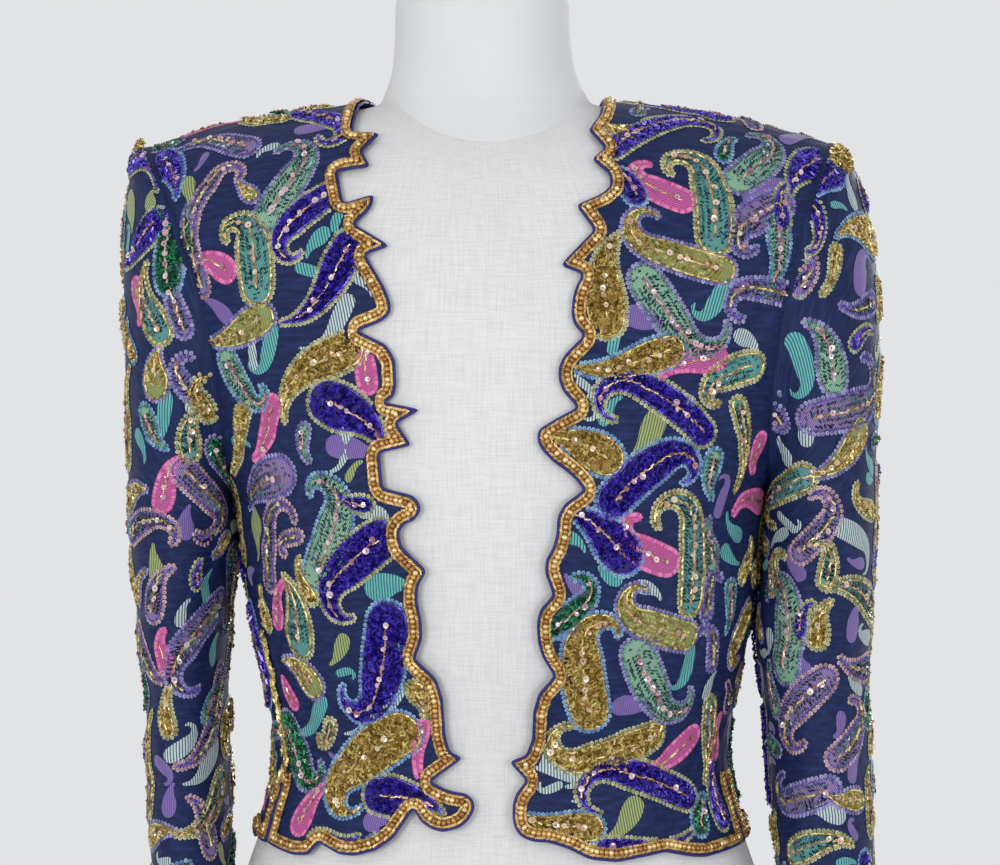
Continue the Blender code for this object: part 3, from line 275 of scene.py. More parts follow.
SLEEVE_RIGHT_FRONT = [
    ("B", 146, 150, 160, 142, 24, 40), ("F", 160, 168, 174, 158, 11, 40), ("A", 132, 162, 172, 196, 28, 60),
    ("Io", 130, 200, 132, 232, 20, 40), ("A", 156, 222, 126, 262, 28, 60), ("H", 168, 282, 170, 214, 24, -40),
    ("E", 184, 330, 182, 268, 14, 40), ("Io", 150, 206, 154, 190, 12, 40), ("F", 136, 286, 139, 322, 15, 60),
    ("C", 160, 332, 148, 266, 24, 60), ("G", 156, 386, 160, 350, 26, 40), ("C", 128, 456, 130, 370, 22, 50),
    ("It", 166, 398, 150, 436, 13, 160), ("E", 190, 394, 186, 358, 13, 150), ("Is", 192, 408, 200, 382, 12, 60),
    ("D", 146, 414, 166, 446, 19, -50), ("C", 190, 452, 200, 410, 18, 60), ("B", 208, 414, 224, 378, 14, 150),
    ("F", 162, 502, 180, 458, 18, 60), ("G", 122, 498, 156, 484, 26, 40), ("E", 184, 470, 208, 550, 24, 190),
    ("Iv", 186, 532, 190, 504, 15, 40), ("E", 133, 534, 180, 532, 20, 160), ("Io", 156, 576, 154, 544, 16, 40),
    ("C", 130, 584, 128, 548, 14, 60), ("G", 138, 598, 146, 570, 13, 40), ("E", 152, 612, 172, 566, 20, 50),
    ("It", 206, 598, 212, 570, 12, 60), ("E", 218, 602, 182, 686, 26, -180), ("E", 138, 634, 162, 674, 24, -60),
    ("F", 166, 668, 164, 632, 13, 60), ("It", 212, 660, 218, 634, 12, 60), ("E", 220, 676, 178, 762, 26, 60),
    ("C", 150, 806, 152, 716, 22, 50), ("B", 168, 730, 172, 688, 13, 60), ("Is", 214, 744, 184, 782, 20, 60),
    ("Iv", 168, 810, 174, 784, 14, 40), ("C", 220, 780, 178, 832, 22, 60), ("G", 144, 834, 178, 832, 22, 40),
    ("E", 210, 846, 190, 800, 22, -60), ("H", 138, 700, 134, 664, 14, 40), ("D", 206, 716, 216, 690, 12, 60),
    ("B", 134, 356, 128, 322, 12, 50), ("Is", 180, 622, 190, 600, 10, 60), ("A", 196, 584, 200, 562, 10, 60),
]


def curve_of(table, col):
    """A smooth curve through one column of a table, with no overshoot."""
    xs = np.array([r[0] for r in table], float)
    ys = np.array([r[col] for r in table], float)
    h = np.diff(xs)
    d = np.diff(ys) / h
    m = np.zeros(len(xs))
    for i in range(1, len(xs) - 1):
        if d[i - 1] * d[i] > 0:
            w1, w2 = 2 * h[i] + h[i - 1], h[i] + 2 * h[i - 1]
            m[i] = (w1 + w2) / (w1 / d[i - 1] + w2 / d[i])
    m[0], m[-1] = d[0], d[-1]

    def f(x):
        x = np.clip(np.asarray(x, float), xs[0], xs[-1])
        i = np.clip(np.searchsorted(xs, x, side="right") - 1, 0, len(h) - 1)
        t = (x - xs[i]) / h[i]
        return ((2 * t**3 - 3 * t**2 + 1) * ys[i] + (t**3 - 2 * t**2 + t) * h[i] * m[i]
                + (-2 * t**3 + 3 * t**2) * ys[i + 1] + (t**3 - t**2) * h[i] * m[i + 1])
    return f


half_width, front_depth, back_depth = (curve_of(TORSO, c) for c in (1, 2, 3))
shoulder_z = curve_of(SHOULDER, 1)
armhole_x = curve_of(ARMHOLE, 1)
form_half, form_front, form_back = (curve_of(FORM, c) for c in (1, 2, 3))
neck_rx, neck_ry, neck_cy = (curve_of(NECK, c) for c in (1, 2, 3))


def unit(v):
    return v / np.maximum(np.linalg.norm(v, axis=-1, keepdims=True), 1e-12)


def lean(z):
    t = np.clip((np.asarray(z, float) - LEAN_Z0) / (LEAN_Z1 - LEAN_Z0), 0.0, 1.0)
    return LEAN_X * t * t * (3 - 2 * t)


def placed(x, y, z):
    return np.stack([x + lean(z) + X_SHIFT, y + Y_SHIFT + 0 * x, z + 0 * x], axis=-1)


def depth_at(x, z, front, gap=0.0, top=0.0):
    """Distance of the cloth's outer face from the mid plane, for arrays."""
    x = np.abs(x)
    a = half_width(z)
    b = np.where(front, front_depth(z), back_depth(z)) - gap
    m = np.where(front, M_FRONT, M_BACK)
    r = np.maximum(0.0, 1 - (x / a) ** N_ROUND) ** (1 / N_ROUND)
    zf = np.clip((z - Z_CAP) / (shoulder_z(x) - top - Z_CAP), 0, 1.0)
    return b * r * np.maximum(0.0, 1 - zf ** m) ** (1 / m)


def torso_raw(ang, t):
    s, c = np.sin(ang), np.cos(ang)
    r = (np.abs(s) ** N_ROUND + np.abs(c) ** N_ROUND) ** (-1 / N_ROUND)
    front = c >= 0
    m = np.where(front, M_FRONT, M_BACK)
    psi = np.clip((t - Z_CAP) / CAP_LEN, 0, 1.2) * math.pi / 2
    cs, sn = np.abs(np.cos(psi)), np.sin(psi)
    q = (cs ** m + sn ** m) ** (-1 / m)
    keep, rise = q * cs, q * sn
    x = r * s * half_width(np.minimum(t, Z_CAP))
    z = t
    for _ in range(8):
        z = np.where(t <= Z_CAP, t, Z_CAP + (shoulder_z(np.abs(x)) - Z_CAP) * rise)
        x = r * s * half_width(z)
    b = np.where(front, front_depth(z), back_depth(z))
    return placed(x, -b * r * c * keep, z)


def chart(x, z, side):
    """Angle and length t of the cloth at x (from the middle) and z."""
    f = min(1.0, abs(x) / float(half_width(z)))
    ang = math.atan2(f, max(0.0, 1 - f ** N_ROUND) ** (1 / N_ROUND))
    if z <= Z_CAP:
        t = z
    else:
        m = M_FRONT if side < 0 else M_BACK
        zf = min(1.0, (z - Z_CAP) / (float(shoulder_z(abs(x))) - Z_CAP))
        t = Z_CAP + math.atan2(zf, max(0.0, 1 - zf ** m) ** (1 / m)) / (math.pi / 2) * CAP_LEN
    if x < 0:
        ang = -ang
    if side > 0:
        ang = math.pi - ang
    return ang * CHART_R, t


# ------------------------------------------------------------------ outlines
def resample(points, step):
    out = [points[0]]
    for a, b in zip(points[:-1], points[1:]):
        n = max(1, int(round(math.dist(a, b) / step)))
        out += [(a[0] + (b[0] - a[0]) * k / n, a[1] + (b[1] - a[1]) * k / n) for k in range(1, n + 1)]
    return out


def soften(rows):
    out = [rows[0][1]]
    for i in range(1, len(rows) - 1):
        kind, p = rows[i]
        if kind in "rc":
            a, b = rows[i - 1][1], rows[i + 1][1]
            k = 0.30 if kind == "r" else 0.24
            out.append((p[0] + (a[0] - p[0]) * k, p[1] + (a[1] - p[1]) * k))
            out.append((p[0] + (b[0] - p[0]) * k, p[1] + (b[1] - p[1]) * k))
        else:
            out.append(p)
    return out + [rows[-1][1]]


def rounded(line, passes=2, step=0.0016):
    """The sewn edge: the same line with its corners a little rounded."""
    p = np.array(resample(line, step))
    for _ in range(passes):
        p[1:-1] = 0.5 * p[1:-1] + 0.25 * (p[:-2] + p[2:])
    return [tuple(q) for q in p]


T_TOP = Z_CAP + CAP_LEN - SEAM / 2
SLIT_EDGING_TOP = 0.290      # above it the slit is closed by a crowded line of gold beads


def side_line(side, panel):
    row = SIDES["left" if side > 0 else "right"]
    out = []
    for z in np.linspace(0.247, 0.455, 40):
        open_ = SEAM / 2 + row["slit_half"] * max(0.0, (row["slit_top"] - z) / 0.12)
        k = min(1.0, max(0.0, (z - row["slit_top"]) / (0.455 - row["slit_top"])))
        k = k * k * (3 - 2 * k)
        s = math.radians(row["angle"] + (90.0 - row["angle"]) * k) * CHART_R + panel * open_
        out.append((side * s, float(z)))
    return out


def armhole_line(side, panel):
    out = []
    for z in np.concatenate([[0.4572, 0.462], np.linspace(0.470, 0.6662, 44), [0.6685, 0.6700]]):
        out.append(chart(side * float(armhole_x(z)), float(z), panel))
    out.append((chart(side * 0.2080, 0.6710, panel)[0], T_TOP))
    return out


def wrap(line):
    return [(s + 2 * math.pi * CHART_R if s < 0 else s, t) for s, t in line]


def free_edge(side):
    table = EDGE_LEFT if side > 0 else EDGE_RIGHT
    rows = [("p", (chart(side * 0.0720, 0.6975, -1)[0], T_TOP))]
    rows += [(kind, chart(side * x / 1000.0, z / 1000.0, -1)) for kind, z, x in table]
    rows.append(("p", side_line(side, -1)[0]))
    return soften(rows)


def slit_part(side, panel):
    return [p for p in side_line(side, panel) if p[1] < SLIT_EDGING_TOP]


def neck_back_line():
    half = [chart(x, z, 1) for x, z in NECK_BACK]
    half[0] = (half[0][0], T_TOP)
    other = [(2 * math.pi * CHART_R - s, t) for s, t in half[:-1]]
    return half + other[::-1]


def hem_back_line():
    rows = [("p", side_line(1, 1)[0])]
    rows += [(k, (math.radians(a) * CHART_R, z / 1000.0)) for k, a, z in HEM_BACK]
    rows.append(("p", wrap([side_line(-1, 1)[0]])[0]))
    return soften(rows)


def front_parts(side):
    edge = rounded(free_edge(side))
    seam = side_line(side, -1)[1:]
    arm = armhole_line(side, -1)
    top = resample([arm[-1], edge[0]], 0.004)[1:-1]
    loop = edge + seam + arm + top
    if side < 0:
        loop = loop[::-1]
    return loop, [edge + slit_part(side, -1)[1:]]


def back_parts():
    left_seam, right_seam = side_line(1, 1), wrap(side_line(-1, 1))
    left_arm, right_arm = armhole_line(1, 1), wrap(armhole_line(-1, 1))
    hem = rounded(hem_back_line())
    neck = rounded(neck_back_line(), 3)
    top_r = resample([right_arm[-1], neck[-1]], 0.004)[1:]
    top_l = resample([neck[0], left_arm[-1]], 0.004)[1:-1]
    loop = (hem + right_seam[1:] + right_arm + top_r + neck[::-1][1:] + top_l
            + left_arm[::-1] + left_seam[1:][::-1])
    free = slit_part(1, 1)[::-1][:-1] + hem + wrap(slit_part(-1, 1))[1:]
    return loop, [free, neck]


# ------------------------------------------------------------------- faces
class Face:
    """The outer face of a piece of cloth, kept as a fine grid of points over
    two lengths a (to the right, seen from outside) and b (up)."""

    def __init__(self, a, b, points):
        self.a0, self.da, self.na = a[0], a[1] - a[0], len(a)
        self.b0, self.db, self.nb = b[0], b[1] - b[0], len(b)
        self.span = self.da * self.na
        self.p = points
        pa = (np.roll(points, -1, axis=1) - np.roll(points, 1, axis=1)) / (2 * self.da)
        pb = np.gradient(points, self.db, axis=0)
        n = unit(np.cross(pa, pb))
        e2 = unit(pb)
        e1 = np.cross(e2, n)
        self.frame = np.stack([e1, e2, n], axis=-2)
        self.g = np.stack([np.stack([(pa * e1).sum(-1), (pb * e1).sum(-1)], -1),
                           np.stack([(pa * e2).sum(-1), (pb * e2).sum(-1)], -1)], -2)

    def cell(self, a, b):
        i = (np.asarray(a, float) - self.a0) / self.da
        j = np.clip((np.asarray(b, float) - self.b0) / self.db, 0, self.nb - 1.001)
        i0, j0 = np.floor(i).astype(int), np.floor(j).astype(int)
        fi, fj = i - i0, j - j0
        i1 = (i0 + 1) % self.na
        return i0 % self.na, i1, j0, j0 + 1, fi, fj

    def mix(self, grid, a, b):
        i0, i1, j0, j1, fi, fj = self.cell(a, b)
        extra = (None,) * (grid.ndim - 2)
        fi, fj = fi[(...,) + extra], fj[(...,) + extra]
        return ((grid[j0, i0] * (1 - fi) + grid[j0, i1] * fi) * (1 - fj)
                + (grid[j1, i0] * (1 - fi) + grid[j1, i1] * fi) * fj)

    def at(self, a, b, lift=0.0):
        p = self.mix(self.p, a, b)
        if np.any(lift):
            f = self.mix(self.frame, a, b)
            p = p + unit(f[..., 2, :]) * np.asarray(lift)[..., None]
        return p

    def frames(self, a, b):
        f = self.mix(self.frame, a, b)
        n = unit(f[..., 2, :])
        e2 = unit(f[..., 1, :])
        e1 = unit(np.cross(e2, n))
        return e1, np.cross(n, e1), n

    def spread(self, a0, b0, x, y):
        """Grid lengths of points x, y (metres on the cloth) from a0, b0,
        followed in a few steps because the grid's own scale changes."""
        x, y = np.asarray(x, float), np.asarray(y, float)
        a, b = np.full(x.shape, float(a0)), np.full(x.shape, float(b0))
        steps = 4
        for _ in range(steps):
            g = self.mix(self.g, a, b)
            det = np.maximum(g[..., 0, 0] * g[..., 1, 1] - g[..., 0, 1] * g[..., 1, 0], 0.02) * steps
            a, b = (a + (g[..., 1, 1] * x - g[..., 0, 1] * y) / det,
                    b + (g[..., 0, 0] * y - g[..., 1, 0] * x) / det)
        return a, b


def camera_px(p):
    c = np.array([CAM_DIST * math.sin(CAM_TURN), -CAM_DIST * math.cos(CAM_TURN), CAM_Z])
    q = p - c
    d = -q[..., 0] * math.sin(CAM_TURN) + q[..., 1] * math.cos(CAM_TURN)
    u = 500 + CAM_F * (q[..., 0] * math.cos(CAM_TURN) + q[..., 1] * math.sin(CAM_TURN)) / d
    v = 432.5 - CAM_F * q[..., 2] / d
    return u, v, -q / np.linalg.norm(q, axis=-1, keepdims=True)


def picker(face, keep):
    """A function from a pixel of the front view to the face's lengths a, b."""
    u, v, look = camera_px(face.p)
    facing = (look * face.frame[..., 2, :]).sum(-1)
    jj, ii = np.nonzero((facing > 0.16) & keep)
    uu, vv = u[jj, ii], v[jj, ii]

    def pick(pu, pv):
        k = np.argmin((uu - pu) ** 2 + (vv - pv) ** 2)
        j, i = jj[k], ii[k]
        a, b = face.a0 + i * face.da, face.b0 + j * face.db
        if 1 <= j < face.nb - 1:
            ip, im = (i + 1) % face.na, (i - 1) % face.na
            m = np.array([[u[j, ip] - u[j, im], u[j + 1, i] - u[j - 1, i]],
                          [v[j, ip] - v[j, im], v[j + 1, i] - v[j - 1, i]]]) / 2
            if abs(np.linalg.det(m)) > 1e-3:
                d = np.clip(np.linalg.solve(m, [pu - u[j, i], pv - v[j, i]]), -1.5, 1.5)
                a, b = a + d[0] * face.da, b + d[1] * face.db
        return a, b
    return pick


def body_fold(ang, t):
    deg = np.degrees(ang) % 360.0
    d = np.zeros_like(t)
    for a0, t0, length, width, turn, depth, bend in BODY_FOLDS:
        da = np.radians((deg - a0 + 180.0) % 360.0 - 180.0) * 0.165
        dt = t - t0
        r = math.radians(turn)
        along = dt * math.cos(r) + da * math.sin(r)
        across = da * math.cos(r) - dt * math.sin(r) + bend * along ** 2
        d += depth * np.exp(-(along / length) ** 2 - (across / width) ** 2)
    # a slow unevenness of worn, beaded cloth
    d += 0.00045 * np.sin(deg * 0.55 + 9 * np.sin(t * 31)) * np.sin(t * 120 + deg * 0.11)
    return d


def torso_face():
    a = np.arange(0, 320) * (2 * math.pi * CHART_R / 320) - math.pi * CHART_R
    b = np.linspace(0.190, Z_CAP + CAP_LEN - 0.0002, 200)
    aa, bb = np.meshgrid(a, b)
    ang = aa / CHART_R
    base = torso_raw(ang, bb)
    n = unit(np.cross(np.roll(base, -1, 1) - np.roll(base, 1, 1), np.gradient(base, axis=0)))
    d = body_fold(ang, bb)
    d *= np.clip((T_TOP - bb) / 0.03, 0, 1)
    x = np.abs(base[..., 0] - X_SHIFT - lean(base[..., 2]))
    reach = np.abs(x - armhole_x(base[..., 2]))
    d *= np.where(base[..., 2] > 0.44, np.clip(reach / 0.012, 0, 1), 1.0)
    d = np.clip(d, -0.0024, 0.0030)
    return Face(a, b, base + n * d[..., None])


def sleeve_ring(row, head, side, phi):
    f = (1 - np.cos(phi)) / 2
    front = phi <= math.pi
    sn = np.abs(np.sin(phi)) ** 0.92
    if head:
        in_x, in_z, out_x, out_z, fr, bk, w = row
        x = in_x + f * (out_x - in_x)
        z = in_z + f * (out_z - in_z)
        y = np.where(front, -fr, bk) * sn
        if w > 0:
            z0 = 0.4555 + f * (0.6712 - 0.4555)
            seam = armhole_x(z0)
            straight = 0.1625 + (z0 - 0.455) * (0.2080 - 0.1625) / (0.6712 - 0.455)
            x = x + w * (seam - straight)
            own = np.where(front, -1, 1) * depth_at(seam, z0, front)
            y = w * own + (1 - w) * y
    else:
        z_, in_r, out_r, in_l, out_l, mid, half = row
        a, b = (in_l, out_l) if side > 0 else (in_r, out_r)
        x = a + f * (b - a)
        z = np.full_like(x, z_)
        y = mid + np.where(front, -half, half) * sn
    return placed(side * x, y, z)


def sleeve_face(side):
    cols, fine, rows = 120, 300, 190
    phi = np.linspace(0, 2 * math.pi, fine, endpoint=False)
    rings = np.array([sleeve_ring(r, True, side, phi) for r in SLEEVE_HEAD]
                     + [sleeve_ring(r, False, side, phi) for r in SLEEVE_ARM])
    step = np.linalg.norm(np.diff(rings, axis=0), axis=2).mean(axis=1)
    node = np.concatenate([[0], np.cumsum(step)])
    m = np.empty_like(rings)
    m[1:-1] = (rings[2:] - rings[:-2]) / (node[2:] - node[:-2])[:, None, None]
    m[0] = (rings[1] - rings[0]) / step[0]
    m[-1] = (rings[-1] - rings[-2]) / step[-1]
    at = np.linspace(0, node[-1], rows)
    k = np.clip(np.searchsorted(node, at, side="right") - 1, 0, len(node) - 2)
    h = (node[k + 1] - node[k])[:, None, None]
    t = ((at - node[k]) / (node[k + 1] - node[k]))[:, None, None]
    p = ((2 * t**3 - 3 * t**2 + 1) * rings[k] + (t**3 - 2 * t**2 + t) * h * m[k]
         + (-2 * t**3 + 3 * t**2) * rings[k + 1] + (t**3 - t**2) * h * m[k + 1])
    p = p[::-1]
    a = np.arange(cols) * (2 * math.pi * 0.055 / cols)
    b = at - at[-1]
    if side < 0:
        p = p[:, ::-1]
        a = -a[::-1]
        ang = np.degrees(phi[::-1])
    else:
        ang = np.degrees(phi)
    n = unit(np.cross(np.roll(p, -1, 1) - np.roll(p, 1, 1), np.gradient(p, axis=0)))
    d = np.zeros(p.shape[:2])
    twist = 7.0 if side > 0 else -5.0
    for fz, fa, rz, ra, depth, slant in SLEEVE_FOLDS:
        dang = (ang[None, :] - fa - (twist if rz < 0.0125 else 0.0) + 180.0) % 360.0 - 180.0
        zz = fz + (0.006 if side > 0 and rz < 0.0125 else 0.0)
        dz = p[..., 2] - zz - slant * np.radians(dang) * 0.03
        d += (1.35 if rz < 0.0125 else 1.1) * depth * np.exp(-(dz / rz) ** 2 - (dang / ra) ** 2)
    away = np.clip((np.abs((ang + 180.0) % 360.0 - 180.0) - 30.0) / 15.0, 0, 1)[None, :]
    ends = np.clip((at[-1] + b)[:, None] / 0.02, 0, 1) * np.clip((-b)[:, None] / 0.012, 0, 1)
    d = d * away * ends
    p = p + n * d[..., None]
    # even spacing round each ring, so that motifs keep their shape
    shut = np.concatenate([p, p[:, :1]], axis=1)
    run = np.cumsum(np.linalg.norm(np.diff(shut, axis=1), axis=2), axis=1)
    run = np.concatenate([np.zeros((rows, 1)), run], axis=1)
    even = np.empty((rows, cols, 3))
    for j in range(rows):
        along = np.arange(cols) / cols * run[j, -1]
        for k in range(3):
            even[j, :, k] = np.interp(along, run[j], shut[j, :, k])
    return Face(a, b, even)


# --------------------------------------------------------------------- mesh
def fast_mesh(name, verts, faces, size, smooth, mats, index=None, uv=None):
    """faces: array (n, size) of vertex numbers; uv is given for each vertex."""
    mesh = bpy.data.meshes.new(name)
    faces = np.ascontiguousarray(faces, dtype=np.int32)
    mesh.vertices.add(len(verts))
    mesh.vertices.foreach_set("co", np.asarray(verts, np.float32).ravel())
    mesh.loops.add(faces.size)
    mesh.loops.foreach_set("vertex_index", faces.ravel())
    mesh.polygons.add(len(faces))
    mesh.polygons.foreach_set("loop_start", np.arange(0, faces.size, size, dtype=np.int32))
    mesh.polygons.foreach_set("loop_total", np.full(len(faces), size, np.int32))
    if index is not None:
        mesh.polygons.foreach_set("material_index", np.asarray(index, np.int32))
    mesh.polygons.foreach_set("use_smooth", np.broadcast_to(np.asarray(smooth, bool), len(faces)).copy())
    if uv is not None:
        layer = mesh.uv_layers.new(name="UVMap")
        layer.data.foreach_set("uv", np.asarray(uv, np.float32)[faces.ravel()].ravel())
    for m in mats:
        mesh.materials.append(m)
    mesh.update(calc_edges=True)
    mesh.validate()
    obj = bpy.data.objects.new(name, mesh)
    bpy.context.scene.collection.objects.link(obj)
    return obj


def distance_to_loop(points, loop):
    """Distance of each point from a closed line, and whether it is inside."""
    a = np.array(loop)
    b = np.roll(a, -1, axis=0)
    d = b - a
    dd = np.maximum((d * d).sum(1), 1e-14)
    best = np.full(len(points), 1e9)
    inside = np.zeros(len(points), bool)
    for k in range(0, len(points), 2000):
        p = points[k:k + 2000, None, :]
        t = np.clip(((p - a) * d).sum(2) / dd, 0, 1)
        best[k:k + 2000] = np.sqrt(((a + d * t[..., None] - p) ** 2).sum(2)).min(1)
        cross = (a[:, 1] > p[..., 1]) != (b[:, 1] > p[..., 1])
        dy = np.where(b[:, 1] == a[:, 1], 1e-12, b[:, 1] - a[:, 1])
        xi = (b[:, 0] - a[:, 0]) * (p[..., 1] - a[:, 1]) / dy + a[:, 0]
        inside[k:k + 2000] = (cross & (p[..., 0] < xi)).sum(1) % 2 == 1
    return best, inside


def panel_shell(name, face, loop, grid, mat):
    arr = np.array(loop)
    lo, hi = arr.min(0), arr.max(0)
    rows = np.arange(lo[1] + grid * 0.45, hi[1], grid * 0.9)
    pts = []
    for j, t in enumerate(rows):
        s = np.arange(math.floor(lo[0] / grid) * grid + 0.5 * grid * (j % 2), hi[0], grid)
        pts.append(np.stack([s, np.full_like(s, t)], 1))
    pts = np.vstack(pts)
    dist, inside = distance_to_loop(pts, loop)
    pts = pts[inside & (dist > 0.5 * grid)]
    allp = [Vector(p) for p in loop] + [Vector(p) for p in pts]
    verts, _, faces, _, _, _ = delaunay_2d_cdt(allp, [], [list(range(len(loop)))], 1, 1e-7)
    flat = np.array([tuple(v) for v in verts])
    tri = []
    for f in faces:
        for k in range(1, len(f) - 1):
            tri.append((f[0], f[k], f[k + 1]))
    tri = np.array(tri)
    used, tri = np.unique(tri, return_inverse=True)
    tri = tri.reshape(-1, 3)
    flat = flat[used]
    ab, ac = flat[tri[:, 1]] - flat[tri[:, 0]], flat[tri[:, 2]] - flat[tri[:, 0]]
    cross = ab[:, 0] * ac[:, 1] - ab[:, 1] * ac[:, 0]
    tri = tri[np.abs(cross) > 1e-12]
    cross = cross[np.abs(cross) > 1e-12]
    tri = np.where(cross[:, None] > 0, tri, tri[:, ::-1])
    outer = face.at(flat[:, 0], flat[:, 1])
    e1, e2, n = face.frames(flat[:, 0], flat[:, 1])
    inner = outer - n * SHELL
    c = len(flat)
    edges = np.vstack([tri[:, [0, 1]], tri[:, [1, 2]], tri[:, [2, 0]]])
    key = set(map(tuple, edges.tolist()))
    rim = np.array([e for e in key if (e[1], e[0]) not in key])
    sides = np.vstack([np.stack([rim[:, 1], rim[:, 0], rim[:, 0] + c], 1),
                       np.stack([rim[:, 1], rim[:, 0] + c, rim[:, 1] + c], 1)])
    allf = np.vstack([tri, tri[:, ::-1] + c, sides])
    uv = np.vstack([flat, flat])
    obj = fast_mesh(name, np.vstack([outer, inner]), allf, 3, True, [mat], uv=uv)
    obj.data.set_sharp_from_angle(angle=math.radians(60))
    p = outer[tri]
    area = 0.5 * np.linalg.norm(np.cross(p[:, 1] - p[:, 0], p[:, 2] - p[:, 0]), axis=1).sum()
    return obj, area


def sleeve_shell(name, face, side, mat, cols=68, rows=106):
    a = face.a0 + np.arange(cols) * face.span / cols
    b = np.linspace(face.b0, face.b0 + face.db * (face.nb - 1), rows)
    # the seam allowance runs on under the body's panels
    b = np.append(b, b[-1])
    rows += 1
    aa, bb = np.meshgrid(a, b)
    outer = face.at(aa, bb)
    n = face.frames(aa, bb)[2]
    low_part = np.clip((0.49 - outer[-1, :, 2]) / 0.03, 0, 1)
    outer[-1] += np.array([-side * 0.0045, 0.0, 0.0]) - n[-1] * 0.0016
    outer[-1, :, 2] -= 0.004 * low_part
    outer, n = outer.reshape(-1, 3), n.reshape(-1, 3)
    inner = outer - n * SHELL
    j, i = np.meshgrid(np.arange(rows - 1), np.arange(cols), indexing="ij")
    i1 = (i + 1) % cols
    quad = np.stack([j * cols + i, j * cols + i1, (j + 1) * cols + i1, (j + 1) * cols + i], -1).reshape(-1, 4)
    c = rows * cols
    k = np.arange(cols)
    k1 = (k + 1) % cols
    low = np.stack([k + c, k1 + c, k1, k], 1)
    top = (rows - 1) * cols
    high = np.stack([k + top, k1 + top, k1 + top + c, k + top + c], 1)
    allf = np.vstack([quad, quad[:, ::-1] + c, low, high])
    uv = np.stack([aa.ravel(), bb.ravel()], 1)
    obj = fast_mesh(name, np.vstack([outer, inner]), allf, 4, True, [mat], uv=np.vstack([uv, uv]))
    obj.data.set_sharp_from_angle(angle=math.radians(60))
    p = outer[quad]
    area = 0.5 * np.linalg.norm(np.cross(p[:, 2] - p[:, 0], p[:, 3] - p[:, 1]), axis=1).sum()
    return obj, area


# -------------------------------------------------------- bead templates
def template(verts, faces, smooth):
    return np.array(verts, float), np.array(faces, int), smooth


def fan(sides, top, rim=0.0, smooth=True):
    """Round piece with a raised or sunk middle: dome, cup."""
    v = [(0.5 * math.cos(2 * math.pi * k / sides), 0.5 * math.sin(2 * math.pi * k / sides), rim)
         for k in range(sides)] + [(0, 0, top)]
    return template(v, [(k, (k + 1) % sides, sides) for k in range(sides)], smooth)


def half_ball(seg):
    """The upper part of a round bead, down to a little below its middle."""
    v, f = [(0, 0, 0.5)], []
    for r, deg in enumerate((34, 66, 104)):
        th = math.radians(deg)
        for s in range(seg):
            ph = 2 * math.pi * (s + 0.5 * (r % 2)) / seg
            v.append((0.5 * math.sin(th) * math.cos(ph), 0.5 * math.sin(th) * math.sin(ph), 0.5 * math.cos(th)))
    for s in range(seg):
        f.append((0, 1 + s, 1 + (s + 1) % seg))
    for r in range(2):
        for s in range(seg):
            a, b = 1 + r * seg + s, 1 + r * seg + (s + 1) % seg
            c, d = a + seg, b + seg
            if r % 2 == 0:
                f += [(a, c, b), (b, c, d)]
            else:
                f += [(a, c, d), (a, d, b)]
    return template(v, f, True)


ROOF = ([(-0.5, -0.5, -0.3), (0.5, -0.5, -0.3), (0.5, 0.0, 0.55), (-0.5, 0.0, 0.55),
         (0.5, 0.5, -0.3), (-0.5, 0.5, -0.3)], [(0, 1, 2), (0, 2, 3), (3, 2, 4), (3, 4, 5)])
TEMPLATES = {
    "bugle": template(*ROOF, False),
    "tube": template(*ROOF, True),
    "bead": fan(4, 0.55, -0.1),
    "ball": half_ball(8),
    "tongue": fan(7, 0.5),
    "sequin": fan(8, -0.02, 0.10),
    "plate": template([(-0.5, -0.5, 0), (0.5, -0.5, 0), (0.5, 0.5, 0), (-0.5, 0.5, 0)],
                      [(0, 1, 2), (0, 2, 3)], True),
}


# ---------------------------------------------------------------- materials
def srgb(r, g, b):
    return tuple((c / 255 / 12.92) if c <= 10 else ((c / 255 + 0.055) / 1.055) ** 2.4
                 for c in (r, g, b)) + (1.0,)


def new_material(name, colour, rough, metal=0.0, coat=0.0, spec=0.5, sheen=0.0, sheen_tint=None):
    mat = bpy.data.materials.new(name)
    mat.use_nodes = True
    shader = mat.node_tree.nodes["Principled BSDF"]
    shader.inputs["Base Color"].default_value = colour
    shader.inputs["Roughness"].default_value = rough
    shader.inputs["Metallic"].default_value = metal
    shader.inputs["Specular IOR Level"].default_value = spec
    shader.inputs["Coat Weight"].default_value = coat
    shader.inputs["Coat Roughness"].default_value = 0.08
    if sheen:
        shader.inputs["Sheen Weight"].default_value = sheen
        shader.inputs["Sheen Roughness"].default_value = 0.45
        if sheen_tint:
            shader.inputs["Sheen Tint"].default_value = sheen_tint
    return mat, shader


def ramp(tree, factor, stops):
    node = tree.nodes.new("ShaderNodeValToRGB")
    cr = node.color_ramp
    while len(cr.elements) < len(stops):
        cr.elements.new(0.5)
    for e, (pos, col) in zip(cr.elements, stops):
        e.position, e.color = pos, col
    tree.links.new(factor, node.inputs["Fac"])
    return node.outputs["Color"]


